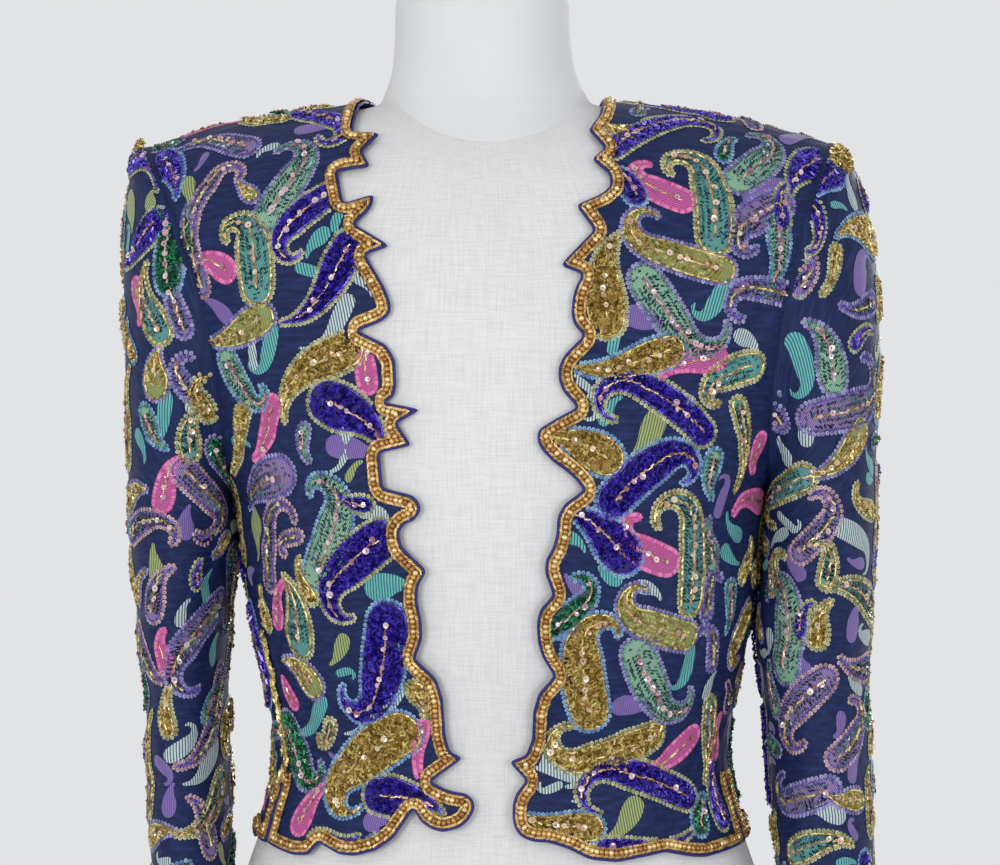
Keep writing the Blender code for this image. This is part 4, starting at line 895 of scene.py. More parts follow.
def bead_material(name, shaded_dark_tone, mid, lit_light_tone, rough, metal=0.0, coat=0.0, spec=0.5, eye=None, eye_size=0.10):
    """Each bead takes its own tone between dark and light: partly real variation between beads, partly painted shade
    and painted highlight.
    """
    mat, shader = new_material(name, mid, rough, metal, coat, spec)
    tree = mat.node_tree
    geo = tree.nodes.new("ShaderNodeNewGeometry")
    # random tone per bead, from a painted shaded tone through its own colour to a painted glint
    col = ramp(tree, geo.outputs["Random Per Island"], [(0.0, shaded_dark_tone), (0.45, mid), (1.0, lit_light_tone)])
    noise = tree.nodes.new("ShaderNodeTexNoise")
    noise.inputs["Scale"].default_value = 900.0
    coord = tree.nodes.new("ShaderNodeTexCoord")
    tree.links.new(coord.outputs["Object"], noise.inputs["Vector"])
    mix = tree.nodes.new("ShaderNodeMix")
    mix.data_type, mix.blend_type = "RGBA", "MULTIPLY"
    mix.inputs["Factor"].default_value = 0.20
    tree.links.new(col, mix.inputs["A"])
    tree.links.new(noise.outputs["Color"], mix.inputs["B"])
    out = mix.outputs["Result"]
    if eye:
        # a loop of thread or a cup: its own lengths tell the middle from the rim
        uv = tree.nodes.new("ShaderNodeUVMap")
        uv.uv_map = "UVMap"
        far = tree.nodes.new("ShaderNodeVectorMath")
        far.operation = "DISTANCE"
        far.inputs[1].default_value = (0.5, 0.5, 0.0)
        tree.links.new(uv.outputs["UV"], far.inputs[0])
        hole = ramp(tree, far.outputs["Value"], [(0.0, eye), (eye_size, eye), (eye_size + 0.13, (1, 1, 1, 1)),
                                                 (0.5, (0.86, 0.86, 0.86, 1))])
        dark_mix = tree.nodes.new("ShaderNodeMix")
        dark_mix.data_type, dark_mix.blend_type = "RGBA", "MULTIPLY"
        dark_mix.inputs["Factor"].default_value = 1.0
        tree.links.new(out, dark_mix.inputs["A"])
        tree.links.new(hole, dark_mix.inputs["B"])
        out = dark_mix.outputs["Result"]
    tree.links.new(out, shader.inputs["Base Color"])
    bump = tree.nodes.new("ShaderNodeBump")
    bump.inputs["Strength"].default_value = 0.15
    bump.inputs["Distance"].default_value = 0.0002
    tree.links.new(noise.outputs["Fac"], bump.inputs["Height"])
    tree.links.new(bump.outputs["Normal"], shader.inputs["Normal"])
    return mat


def thread_material(name, colour, gap, pitch, angle=0.0, shine=0.35, contrast=0.75):
    """Satin stitch: threads side by side, pitch in metres, from the UV lengths."""
    mat, shader = new_material(name, colour, 0.50, spec=shine, sheen=0.25)
    tree = mat.node_tree
    uv = tree.nodes.new("ShaderNodeUVMap")
    uv.uv_map = "UVMap"
    turn = tree.nodes.new("ShaderNodeMapping")
    turn.inputs["Rotation"].default_value = (0, 0, math.radians(angle))
    tree.links.new(uv.outputs["UV"], turn.inputs["Vector"])
    wave = tree.nodes.new("ShaderNodeTexWave")
    wave.wave_profile = "SIN"
    wave.inputs["Scale"].default_value = 1.0 / pitch / 3.18
    wave.inputs["Distortion"].default_value = 0.6
    wave.inputs["Detail"].default_value = 1.0
    tree.links.new(turn.outputs["Vector"], wave.inputs["Vector"])
    noise = tree.nodes.new("ShaderNodeTexNoise")
    noise.inputs["Scale"].default_value = 420.0
    noise.inputs["Detail"].default_value = 3.0
    tree.links.new(uv.outputs["UV"], noise.inputs["Vector"])
    # stripes across each stitch: the groove tone, mixed towards gap, is partly the ground between stitches and partly
    # painted shade; the crest at 1.25 times the colour is painted highlight
    low = tuple(a * (1 - contrast) + b * contrast for a, b in zip(colour, gap))
    high = tuple(min(1.0, a * 1.25) for a in colour[:3]) + (1.0,)
    col = ramp(tree, wave.outputs["Fac"], [(0.18, low), (0.42, colour), (0.9, high)])
    mix = tree.nodes.new("ShaderNodeMix")
    mix.data_type, mix.blend_type = "RGBA", "MULTIPLY"
    mix.inputs["Factor"].default_value = 0.4
    tree.links.new(col, mix.inputs["A"])
    tree.links.new(noise.outputs["Color"], mix.inputs["B"])
    tree.links.new(mix.outputs["Result"], shader.inputs["Base Color"])
    bump = tree.nodes.new("ShaderNodeBump")
    bump.inputs["Strength"].default_value = 0.6
    bump.inputs["Distance"].default_value = 0.0003
    tree.links.new(wave.outputs["Fac"], bump.inputs["Height"])
    tree.links.new(bump.outputs["Normal"], shader.inputs["Normal"])
    return mat


def cloth_material():
    mat, shader = new_material("navy_silk", srgb(31, 40, 78), 0.50, spec=0.13, sheen=0.02,
                               sheen_tint=srgb(120, 130, 200))
    tree = mat.node_tree
    uv = tree.nodes.new("ShaderNodeUVMap")
    uv.uv_map = "UVMap"
    waves = []
    for direction in ("X", "Y"):
        wave = tree.nodes.new("ShaderNodeTexWave")
        wave.bands_direction = direction
        wave.inputs["Scale"].default_value = 1.0 / 0.00055 / 3.18
        wave.inputs["Distortion"].default_value = 0.8
        tree.links.new(uv.outputs["UV"], wave.inputs["Vector"])
        waves.append(wave)
    weave = tree.nodes.new("ShaderNodeMath")
    weave.operation = "MULTIPLY"
    tree.links.new(waves[0].outputs["Fac"], weave.inputs[0])
    tree.links.new(waves[1].outputs["Fac"], weave.inputs[1])
    slub = tree.nodes.new("ShaderNodeTexNoise")
    slub.inputs["Scale"].default_value = 60.0
    slub.inputs["Detail"].default_value = 6.0
    stretch = tree.nodes.new("ShaderNodeMapping")
    stretch.inputs["Scale"].default_value = (1.6, 6.0, 1.0)
    tree.links.new(uv.outputs["UV"], stretch.inputs["Vector"])
    tree.links.new(stretch.outputs["Vector"], slub.inputs["Vector"])
    tone = ramp(tree, slub.outputs["Fac"], [(0.30, srgb(24, 33, 73)), (0.5, srgb(31, 44, 88)),
                                            (0.72, srgb(41, 58, 110))])
    mix = tree.nodes.new("ShaderNodeMix")
    mix.data_type, mix.blend_type = "RGBA", "MULTIPLY"
    mix.inputs["Factor"].default_value = 0.30
    tree.links.new(tone, mix.inputs["A"])
    tree.links.new(weave.outputs["Value"], mix.inputs["B"])
    tree.links.new(mix.outputs["Result"], shader.inputs["Base Color"])
    bump = tree.nodes.new("ShaderNodeBump")
    bump.inputs["Strength"].default_value = 0.35
    bump.inputs["Distance"].default_value = 0.0002
    tree.links.new(weave.outputs["Value"], bump.inputs["Height"])
    soft = tree.nodes.new("ShaderNodeBump")
    soft.inputs["Strength"].default_value = 0.35
    soft.inputs["Distance"].default_value = 0.0008
    tree.links.new(slub.outputs["Fac"], soft.inputs["Height"])
    tree.links.new(bump.outputs["Normal"], soft.inputs["Normal"])
    tree.links.new(soft.outputs["Normal"], shader.inputs["Normal"])
    return mat


def cover_material(name, colour, pitch, depth, rough, slub=0.0):
    """Fine plain weave of the dress form's cover, from object lengths."""
    mat, shader = new_material(name, colour, rough, spec=0.25, sheen=0.15)
    tree = mat.node_tree
    uv = tree.nodes.new("ShaderNodeUVMap")
    uv.uv_map = "UVMap"
    fac = []
    for direction in ("X", "Y"):
        wave = tree.nodes.new("ShaderNodeTexWave")
        wave.bands_direction = direction
        wave.inputs["Scale"].default_value = 1.0 / pitch / 3.18
        wave.inputs["Distortion"].default_value = 1.6
        wave.inputs["Detail"].default_value = 2.0
        wave.inputs["Detail Scale"].default_value = 0.4
        tree.links.new(uv.outputs["UV"], wave.inputs["Vector"])
        fac.append(wave)
    weave = tree.nodes.new("ShaderNodeMath")
    weave.operation = "MULTIPLY"
    tree.links.new(fac[0].outputs["Fac"], weave.inputs[0])
    tree.links.new(fac[1].outputs["Fac"], weave.inputs[1])
    blot = tree.nodes.new("ShaderNodeTexNoise")
    blot.inputs["Scale"].default_value = 9.0
    blot.inputs["Detail"].default_value = 5.0
    tree.links.new(uv.outputs["UV"], blot.inputs["Vector"])
    shade = ramp(tree, blot.outputs["Fac"], [(0.3, tuple(c * 0.965 for c in colour[:3]) + (1.0,)),
                                             (0.7, colour)])
    mix = tree.nodes.new("ShaderNodeMix")
    mix.data_type, mix.blend_type = "RGBA", "MULTIPLY"
    mix.inputs["Factor"].default_value = 0.16
    tree.links.new(shade, mix.inputs["A"])
    tree.links.new(weave.outputs["Value"], mix.inputs["B"])
    out = mix.outputs["Result"]
    for grain in ((750.0, 45.0, 1.0), (45.0, 750.0, 1.0)) if slub else ():
        # threads of uneven thickness, one way and the other
        stretch = tree.nodes.new("ShaderNodeMapping")
        stretch.inputs["Scale"].default_value = grain
        uneven = tree.nodes.new("ShaderNodeTexNoise")
        uneven.inputs["Scale"].default_value = 1.0
        uneven.inputs["Detail"].default_value = 2.0
        tree.links.new(uv.outputs["UV"], stretch.inputs["Vector"])
        tree.links.new(stretch.outputs["Vector"], uneven.inputs["Vector"])
        thread = ramp(tree, uneven.outputs["Fac"], [(0.36, (1 - slub,) * 3 + (1.0,)), (0.58, (1, 1, 1, 1))])
        over = tree.nodes.new("ShaderNodeMix")
        over.data_type, over.blend_type = "RGBA", "MULTIPLY"
        over.inputs["Factor"].default_value = 1.0
        tree.links.new(out, over.inputs["A"])
        tree.links.new(thread, over.inputs["B"])
        out = over.outputs["Result"]
    tree.links.new(out, shader.inputs["Base Color"])
    bump = tree.nodes.new("ShaderNodeBump")
    bump.inputs["Strength"].default_value = 0.5
    bump.inputs["Distance"].default_value = depth
    tree.links.new(weave.outputs["Value"], bump.inputs["Height"])
    tree.links.new(bump.outputs["Normal"], shader.inputs["Normal"])
    return mat


NAVY = srgb(28, 34, 78)
MATS = {
    # beads
    # each bead material lists a dark, an own and a light tone; the dark and light ones stand partly for painted shade
    # and painted highlight
    "royal": bead_material("royal_bugle", srgb(16, 8, 86), srgb(40, 20, 156), srgb(116, 92, 240), 0.17, 0.40, 0.6),
    "gold": bead_material("gold_bugle", srgb(104, 80, 28), srgb(192, 160, 76), srgb(255, 242, 172), 0.24, 0.45, 0.4),
    "edge": bead_material("edge_bead", srgb(150, 98, 38), srgb(206, 156, 78), srgb(255, 228, 164), 0.15, 0.60, 0.5),
    "cord": bead_material("edge_cord", srgb(140, 102, 44), srgb(196, 154, 84), srgb(240, 208, 140), 0.30, 0.45, 0.3),
    # ribbon under the edging beads: its dark brown is painted shade for the gaps between them
    "base": bead_material("edge_ribbon_painted_shade", srgb(92, 60, 26), srgb(112, 76, 32), srgb(134, 94, 44), 0.50, 0.20, 0.0),
    "copper": bead_material("copper_bugle", srgb(150, 98, 54), srgb(206, 158, 100), srgb(246, 216, 166), 0.20, 0.55, 0.4),
    "green": bead_material("green_bead", srgb(4, 48, 34), srgb(12, 92, 60), srgb(80, 190, 140), 0.16, 0.30, 0.6),
    "indigo": bead_material("indigo_bead", srgb(28, 16, 96), srgb(52, 34, 150), srgb(120, 104, 215), 0.18, 0.40, 0.5),
    "fleck": bead_material("fleck_bead", srgb(14, 30, 56), srgb(24, 62, 74), srgb(96, 130, 150), 0.22, 0.30, 0.5),
    "pinkbead": bead_material("pink_bead", srgb(134, 76, 84), srgb(192, 130, 126), srgb(242, 202, 192), 0.22, 0.35, 0.4),
    "sequin": bead_material("sequin", srgb(150, 100, 140), srgb(214, 170, 196), srgb(255, 242, 246), 0.15, 0.55, 0.6,
                            eye=(0.55, 0.35, 0.5, 1), eye_size=0.09),
    "sequin_g": bead_material("sequin_gold", srgb(190, 144, 120), srgb(232, 196, 168), srgb(255, 238, 216), 0.15, 0.55, 0.6,
                              eye=(0.6, 0.45, 0.35, 1), eye_size=0.09),
    # looped borders
    "s_olive": bead_material("border_olive", srgb(132, 136, 88), srgb(172, 174, 126), srgb(206, 206, 160), 0.45, 0.0, 0.1,
                             eye=(0.22, 0.24, 0.34, 1)),
    "s_lav": bead_material("border_lavender", srgb(94, 92, 150), srgb(130, 126, 180), srgb(170, 164, 210), 0.45, 0.0, 0.1,
                           eye=(0.26, 0.26, 0.42, 1)),
    "s_blue": bead_material("border_blue", srgb(74, 116, 164), srgb(108, 152, 196), srgb(152, 190, 220), 0.45, 0.0, 0.1,
                            eye=(0.24, 0.28, 0.44, 1)),
    "s_pink": bead_material("border_pink", srgb(144, 110, 124), srgb(186, 150, 156), srgb(214, 180, 184), 0.45, 0.0, 0.1,
                            eye=(0.24, 0.24, 0.36, 1)),
    "s_mag": bead_material("border_magenta", srgb(176, 62, 130), srgb(212, 96, 160), srgb(232, 138, 188), 0.45, 0.0, 0.1),
    "rim": bead_material("rim_roll", srgb(32, 32, 98), srgb(38, 38, 110), srgb(48, 50, 128), 0.45, 0.0, 0.0, 0.25),
    # stitched grounds
    "t_royal": thread_material("thread_royal", srgb(34, 18, 120), NAVY, 0.0009, 20),
    "t_gold": thread_material("thread_gold", srgb(182, 148, 70), srgb(104, 76, 34), 0.0009, 20),
    "t_turq": thread_material("thread_turquoise", srgb(96, 168, 158), srgb(30, 70, 90), 0.0011, 30),
    "t_mint": thread_material("thread_mint", srgb(150, 194, 166), srgb(40, 84, 76), 0.0011, 30),
    "t_lav": thread_material("thread_lavender", srgb(150, 122, 178), srgb(60, 50, 100), 0.0011, 30),
    "t_olive": thread_material("thread_olive", srgb(152, 164, 94), srgb(60, 76, 60), 0.0011, 30),
    "t_green": thread_material("thread_green", srgb(20, 84, 66), srgb(10, 40, 44), 0.0010, 30),
    "t_mag": thread_material("thread_magenta", srgb(206, 88, 156), srgb(80, 50, 110), 0.0013, 60),
    "h_lav": thread_material("hatch_lavender", srgb(124, 100, 170), srgb(70, 58, 124), 0.0013, 0, 0.3, 0.6),
    "h_turq": thread_material("hatch_turquoise", srgb(92, 178, 174), srgb(28, 66, 96), 0.0018, 0, 0.3, 0.9),
    "h_grey": thread_material("hatch_silver", srgb(186, 206, 206), srgb(36, 58, 84), 0.0018, 0, 0.3, 0.95),
    "h_olive": thread_material("hatch_olive", srgb(156, 170, 102), srgb(50, 70, 74), 0.0017, 0, 0.3, 0.8),
}
MAT_NAMES = list(MATS)
MAT_INDEX = {n: i for i, n in enumerate(MAT_NAMES)}

FAMILY = {
    #    ground     fill             outline     border      second border  spine     cups
    "A": ("t_royal", ("royal", 1.0), "royal", "s_olive", "s_blue", "copper", "sequin"),
    "B": ("t_gold", ("gold", 1.0), "gold", "s_olive", "s_blue", "gold", "sequin_g"),
    "C": ("t_turq", ("fleck", 0.26), "gold", "s_olive", "s_olive", "copper", "sequin_g"),
    "D": ("t_mint", ("fleck", 0.26), "green", "s_lav", "s_blue", "pinkbead", "sequin"),
    "E": ("t_lav", ("fleck", 0.26), "indigo", "s_pink", "s_lav", "gold", "sequin"),
    "F": ("t_mag", None, None, "s_mag", "s_mag", "copper", "sequin"),
    "G": ("t_olive", ("gold", 0.15), "gold", "s_lav", "s_lav", "copper", "sequin_g"),
    "H": ("t_green", ("green", 0.9), "green", "s_lav", "s_blue", "pinkbead", "sequin"),
    "Iv": ("h_lav", None, None, None, None, None, None),
    "It": ("h_turq", None, None, None, None, None, None),
    "Is": ("h_grey", None, None, None, None, None, None),
    "Io": ("h_olive", None, None, None, None, None, None),
}


# -------------------------------------------------------------- paisleys
def paisley(chord, width, curl, direction):
    """Spine points (from the round end), half widths and headings of one
    paisley: chord is the reach from its round end to the far side of the
    bend, direction its heading in radians, clockwise from up."""
    n = 60
    q = np.linspace(0, 1, n)
    hooked = min(1.0, max(0.0, (abs(curl) - 80.0) / 110.0))
    start = 0.34 + 0.16 * hooked
    k = np.clip((q - start) / (1 - start), 0, 1)
    bend = math.radians(curl * (1 + 0.12 * hooked)) * (0.12 * q + 0.88 * (0.45 * k + 0.55 * k * k))
    x = np.concatenate([[0], np.cumsum(np.sin(bend))[:-1]]) / (n - 1)
    y = np.concatenate([[0], np.cumsum(np.cos(bend))[:-1]]) / (n - 1)
    reach = np.hypot(x, y)
    far = int(np.argmax(reach))
    rot = direction - math.atan2(x[far], y[far])
    length = chord / reach[far]
    bend = bend + rot
    c, s = math.cos(rot), math.sin(rot)
    x, y = (x * c + y * s) * length, (-x * s + y * c) * length
    half = width / 2
    # the body keeps its width for a while and then narrows into the bend
    waist = 0.30 + 0.14 * hooked
    s = np.clip((q - waist) / (0.96 - waist), 0, 1)
    w = half * (0.93 + 0.07 * np.sin(math.pi * np.minimum(q / waist, 1.0))) * (1 - s) ** 0.80
    tail = 0.0011 + 0.0017 * (1 - q)
    w = np.maximum(w, np.minimum(half * 0.8, tail * np.clip((1.04 - q) / 0.08, 0.3, 1)))
    return dict(q=q, x=x, y=y, w=w, bend=bend, length=length, half=half, tail=tail)


def outline(m, grow):
    """Closed line round a paisley, grown outwards by grow metres."""
    nx, ny = np.cos(m["bend"]), -np.sin(m["bend"])
    w = m["w"] + grow
    right = np.stack([m["x"] + nx * w, m["y"] + ny * w], 1)
    left = np.stack([m["x"] - nx * w, m["y"] - ny * w], 1)
    cap = []
    r = m["w"][0] + grow
    hx, hy = math.sin(m["bend"][0]), math.cos(m["bend"][0])
    for k in np.linspace(0, math.pi, 15)[1:-1]:
        c, s = math.cos(k), math.sin(k)
        cap.append((m["x"][0] - (nx[0] * c) * r - hx * s * r, m["y"][0] - (ny[0] * c) * r - hy * s * r))
    e = m["bend"][-1]
    tip = np.array([[m["x"][-1] + math.sin(e) * w[-1], m["y"][-1] + math.cos(e) * w[-1]]])
    return np.vstack([right, tip, left[::-1], np.array(cap)])


def walk(line, step, closed=True):
    """Evenly spaced points and directions along a line."""
    p = np.vstack([line, line[:1]]) if closed else line
    run = np.concatenate([[0], np.cumsum(np.linalg.norm(np.diff(p, axis=0), axis=1))])
    n = max(3, int(round(run[-1] / step)))
    at = (np.arange(n) + 0.5) * run[-1] / n
    x, y = np.interp(at, run, p[:, 0]), np.interp(at, run, p[:, 1])
    k = np.clip(np.searchsorted(run, at) - 1, 0, len(p) - 2)
    d = p[k + 1] - p[k]
    return x, y, np.arctan2(d[:, 1], d[:, 0])


class Work:
    """The embroidery of one cloth face: small things placed on it."""

    def __init__(self, face, name, clear):
        self.face, self.name, self.clear = face, name, clear
        self.items = {}
        self.patches = []
        self.taken = []          # xyz and radius of what is already placed

    def put(self, kind, mat, a, b, angle, lift, sx, sy, sz, tilt=None, side=0):
        n = len(a)
        if n == 0:
            return
        full = lambda v: np.broadcast_to(np.asarray(v, float), (n,)).copy()  # noqa: E731
        row = [full(v) for v in (a, b, angle, lift, sx, sy, sz, 0.0 if tilt is None else tilt)]
        self.items.setdefault((kind, mat, side), []).append(np.stack(row, 1))

    def spheres(self, a, b, m, rim):
        k = np.linspace(0, len(m["q"]) - 1, 13).astype(int)
        aa, bb = self.face.spread(a, b, m["x"][k], m["y"][k])
        return aa, bb, self.face.at(aa, bb), m["w"][k] + rim

    def fits(self, a, b, m, gap, rim):
        if float(self.clear(np.array([a]), np.array([b]))[0]) < 0.002:
            return False
        aa, bb, p, r = self.spheres(a, b, m, rim)
        if (self.clear(aa, bb) < r * 0.45).any():
            return False
        if not self.taken:
            return True
        q = np.vstack(self.taken)
        d = np.linalg.norm(p[:, None, :] - q[None, :, :3], axis=2)
        return (d - r[:, None] - q[None, :, 3]).min() > gap

    def take(self, a, b, m, rim):
        _, _, p, r = self.spheres(a, b, m, rim)
        self.taken.append(np.hstack([p, r[:, None]]))

    def heap(self, a, b, radius, height, count):
        """Beads piled on one another, as where two shoulder motifs meet."""
        r = radius * np.sqrt(rng.random(count))
        th = rng.uniform(0, 2 * math.pi, count)
        aa, bb = self.face.spread(a, b, r * np.cos(th), r * np.sin(th))
        lift = 0.0012 + (height - 0.0012) * (1 - (r / radius) ** 2) * rng.random(count) ** 0.7
        self.put("bugle", "gold", aa, bb, rng.uniform(0, math.pi, count), lift,
                 rng.uniform(0.0020, 0.0034, count), 0.0010, 0.0010, rng.normal(0, 0.7, count))

    def motif(self, family, a, b, m, scale=1.0):
        ground, fill, edge, border, border2, spine, cup = FAMILY[family]
        face = self.face
        spread = lambda x, y: face.spread(a, b, x, y)  # noqa: E731
        flat = family[0] == "I"
        # stitched ground, a low cushion
        lines = outline(m, 0.0)
        n = len(m["q"])
        k = np.unique(np.linspace(0, n - 1, 14 if not flat else 16).astype(int))
        nx, ny = np.cos(m["bend"][k]), -np.sin(m["bend"][k])
        hx, hy = np.sin(m["bend"][k]), np.cos(m["bend"][k])
        cap = np.array([0.97, 0.80, 0.45])
        r0 = m["w"][0]
        cx = np.concatenate([m["x"][0] - hx[0] * r0 * cap, m["x"][k]])
        cy = np.concatenate([m["y"][0] - hy[0] * r0 * cap, m["y"][k]])
        cw = np.concatenate([r0 * np.sqrt(1 - cap ** 2), m["w"][k]])
        cnx = np.concatenate([np.full(3, nx[0]), nx])
        cny = np.concatenate([np.full(3, ny[0]), ny])
        across = np.array([-1.0, -0.55, 0.0, 0.55, 1.0])
        px = cx[:, None] + cnx[:, None] * cw[:, None] * across
        py = cy[:, None] + cny[:, None] * cw[:, None] * across
        rise = (0.0003 if flat else 0.0005) * (1 - across ** 2)[None, :] * np.clip(cw / 0.004, 0.2, 1)[:, None]
        aa, bb = spread(px, py)
        top = face.at(aa, bb, 0.00018 + rise)
        self.patches.append((top, np.stack([px, py], -1) + 0.37 * len(self.patches), MAT_INDEX[ground],
                             self.clear(aa, bb)))
        if flat:
            return
        # looped border: one scallop of thread after another
        use = border2 if rng.random() < 0.35 else border
        if family != "F":
            x, y, ang = walk(outline(m, 0.0011), 0.0027)
            jit = rng.normal(0, 0.00010, (2, len(x)))
            a1, b1 = spread(x + jit[0], y + jit[1])
            self.put("tongue", use, a1, b1, ang + rng.normal(0, 0.10, len(x)), 0.0003, 0.0027, 0.0031, 0.0016)
        else:
            x, y, ang = walk(outline(m, 0.0006), 0.0013)
            a1, b1 = spread(x, y)
            self.put("tongue", use, a1, b1, ang, 0.0003, 0.0017, 0.0030, 0.0016)
        # outline of beads
        if edge:
            x, y, ang = walk(outline(m, -0.0007), 0.0019)
            a1, b1 = spread(x, y)
            if edge in ("royal", "gold"):
                self.put("tube", edge, a1, b1, ang + rng.normal(0, 0.2, len(x)), 0.0010, 0.0020, 0.0012, 0.0012)
            else:
                self.put("bead", edge, a1, b1, ang, 0.0008, 0.0018, 0.0016, 0.0015)
        # fill
        wide = np.maximum(0.0, m["w"] - 0.0012)
        step = m["length"] / (n - 1)
        area = 2 * wide.sum() * step
        if fill and area > 1.2e-5:
            name, share = fill
            count = int(area / (1.9e-6 if share >= 0.9 else 1.45e-6) * (1.0 if share >= 0.9 else share * 1.15))
            cdf = np.cumsum(wide)
            j = np.searchsorted(cdf, rng.random(count) * cdf[-1])
            j = np.clip(j, 0, n - 1)
            v = rng.uniform(-1, 1, count) * wide[j]
            along = rng.uniform(-0.5, 0.5, count) * step
            x = m["x"][j] + np.cos(m["bend"][j]) * v + np.sin(m["bend"][j]) * along
            y = m["y"][j] - np.sin(m["bend"][j]) * v + np.cos(m["bend"][j]) * along
            extra = rng.uniform(0, math.pi, int(count * 0.12)) + math.pi
            rr = m["w"][0] * 0.8 * np.sqrt(rng.random(len(extra)))
            h0 = m["bend"][0]
            x = np.concatenate([x, m["x"][0] + np.cos(extra - h0) * rr])
            y = np.concatenate([y, m["y"][0] + np.sin(extra - h0) * rr])
            a1, b1 = spread(x, y)
            c = len(x)
            if share >= 0.9:
                self.put("bugle", name, a1, b1, rng.uniform(0, math.pi, c), rng.uniform(0.0009, 0.0022, c),
                         rng.uniform(0.0022, 0.0038, c), 0.00115, 0.00110, rng.normal(0, 0.30, c))
            else:
                keep = rng.random(c) < 0.25
                self.put("bugle", name, a1[keep], b1[keep], rng.normal(0, 0.55, c)[keep] - m["bend"][0], 0.0008,
                         0.0018, 0.0011, 0.0010)
                # slanting stitches of beads on both sides of the spine
                x, y, ang = walk(np.stack([m["x"], m["y"]], 1), 0.0024, closed=False)
                run = (np.arange(len(x)) + 0.5) / len(x)
                half = np.interp(run, m["q"], wide)
                for side_of in (-1, 1):
                    for place in (0.36, 0.74):
                        ok = (half * place > 0.0011) & (rng.random(len(x)) < 0.9)
                        v = side_of * (half * place)[ok] + rng.normal(0, 0.0002, ok.sum())
                        ax, ay, an = x[ok], y[ok], ang[ok]
                        a1, b1 = spread(ax - np.sin(an) * v, ay + np.cos(an) * v)
                        self.put("bugle", name, a1, b1, an + side_of * 0.75 + rng.normal(0, 0.25, ok.sum()), 0.0009,
                                 rng.uniform(0.0019, 0.0027, ok.sum()), 0.0012, 0.0011, rng.normal(0, 0.12, ok.sum()))
        # spine
        piled = 0.0 if fill and fill[1] >= 0.9 else (-0.0014 if family == "F" else -0.0008)
        if spine:
            inner = np.nonzero(m["w"] > max(0.0020, 0.24 * m["half"]))[0]
            if len(inner) > 3:
                line = np.stack([m["x"][inner], m["y"][inner]], 1)
                x, y, ang = walk(line, 0.0026, closed=False)
                c = len(x)
                off = rng.normal(0, 0.0003, (2, c))
                a1, b1 = spread(x + off[0], y + off[1])
                self.put("tube", spine, a1, b1, ang + rng.normal(0, 0.22, c), piled + rng.uniform(0.0018, 0.0024, c),
                         rng.uniform(0.0024, 0.0036, c), 0.0013, 0.0013, rng.normal(0, 0.12, c))
                x, y, ang = walk(line, 0.0062, closed=False)
                keep = rng.random(len(x)) < 0.68
                x, y, ang = x[keep], y[keep], ang[keep]
                c = len(x)
                off = rng.normal(0, 0.0010, (2, c))
                a1, b1 = spread(x + off[0], y + off[1])
                dia = rng.uniform(0.0029, 0.0045, c) * min(1.0, 0.50 + m["half"] / 0.015)
                tilt = rng.normal(0, 0.34, c)
                self.put("sequin", cup, a1, b1, rng.uniform(0, math.pi, c), 0.0027 + piled, dia, dia, dia, tilt)
                self.put("bead", spine, a1, b1, ang, 0.0031 + piled, 0.0013, 0.0013, 0.0016)

    def build(self, keep_side=None):
        """Join everything into one piece, or one for each side of the back."""
        face = self.face
        parts = {}
        for (kind, mat, _), rows in self.items.items():
            r = np.vstack(rows)
            ok = self.clear(r[:, 0], r[:, 1]) > 0.0004
            r = r[ok]
            if keep_side is not None:
                mid = math.pi * CHART_R
                r = r[(r[:, 0] < mid) if keep_side < 0 else (r[:, 0] >= mid)]
            if len(r):
                parts[(kind, mat)] = r
        verts, faces, index, smooth, uvs = [], [], [], [], []
        count = 0
        for (kind, mat), r in parts.items():
            tv, tf, sm = TEMPLATES[kind]
            p = face.at(r[:, 0], r[:, 1])
            e1, e2, n = face.frames(r[:, 0], r[:, 1])
            c, s = np.cos(r[:, 2])[:, None], np.sin(r[:, 2])[:, None]
            ex, ey = e1 * c + e2 * s, e2 * c - e1 * s
            ct, st = np.cos(r[:, 7])[:, None], np.sin(r[:, 7])[:, None]
            ex, nz = ex * ct + n * st, n * ct - ex * st
            p = p + n * r[:, 3:4]
            v = (p[:, None, :] + tv[None, :, 0:1] * (ex * r[:, 4:5])[:, None, :]
                 + tv[None, :, 1:2] * (ey * r[:, 5:6])[:, None, :]
                 + tv[None, :, 2:3] * (nz * r[:, 6:7])[:, None, :])
            f = tf[None] + (count + np.arange(len(r)) * len(tv))[:, None, None]
            verts.append(v.reshape(-1, 3))
            uvs.append(np.tile(tv[:, :2] + 0.5, (len(r), 1)))
            faces.append(f.reshape(-1, 3))
            index.append(np.full(len(r) * len(tf), MAT_INDEX[mat]))
            smooth.append(np.full(len(r) * len(tf), sm))
            count += len(r) * len(tv)
        for top, uv, mat, clear in self.patches:
            if keep_side is not None:
                continue
            h, w = top.shape[:2]
            j, i = np.meshgrid(np.arange(h - 1), np.arange(w - 1), indexing="ij")
            q = np.stack([j * w + i, j * w + i + 1, (j + 1) * w + i + 1, (j + 1) * w + i], -1).reshape(-1, 4)
            good = (clear.ravel()[q] > 0.0).all(axis=1)
            q = q[good]
            f = np.vstack([q[:, [0, 1, 2]], q[:, [0, 2, 3]]])
            if len(f) == 0:
                continue
            a, b, c = (top.reshape(-1, 3)[f[:, k]] for k in range(3))
            mid_n = np.cross(b - a, c - a)
            ok = np.linalg.norm(mid_n, axis=1) > 1e-13
            f = f[ok]
            verts.append(top.reshape(-1, 3))
            uvs.append(uv.reshape(-1, 2))
            faces.append(f[:, ::-1] + count)
            index.append(np.full(len(f), mat))
            smooth.append(np.full(len(f), True))
            count += h * w
        if not verts:
            return None
        used = sorted(set(np.concatenate(index).tolist()))
        remap = np.zeros(len(MAT_NAMES), int)
        remap[used] = np.arange(len(used))
        name = self.name + ("" if keep_side is None else ("_a" if keep_side < 0 else "_b"))
        obj = fast_mesh(name, np.vstack(verts), np.vstack(faces), 3, np.concatenate(smooth),
                        [MATS[MAT_NAMES[i]] for i in used], remap[np.concatenate(index)], np.vstack(uvs))
        return obj


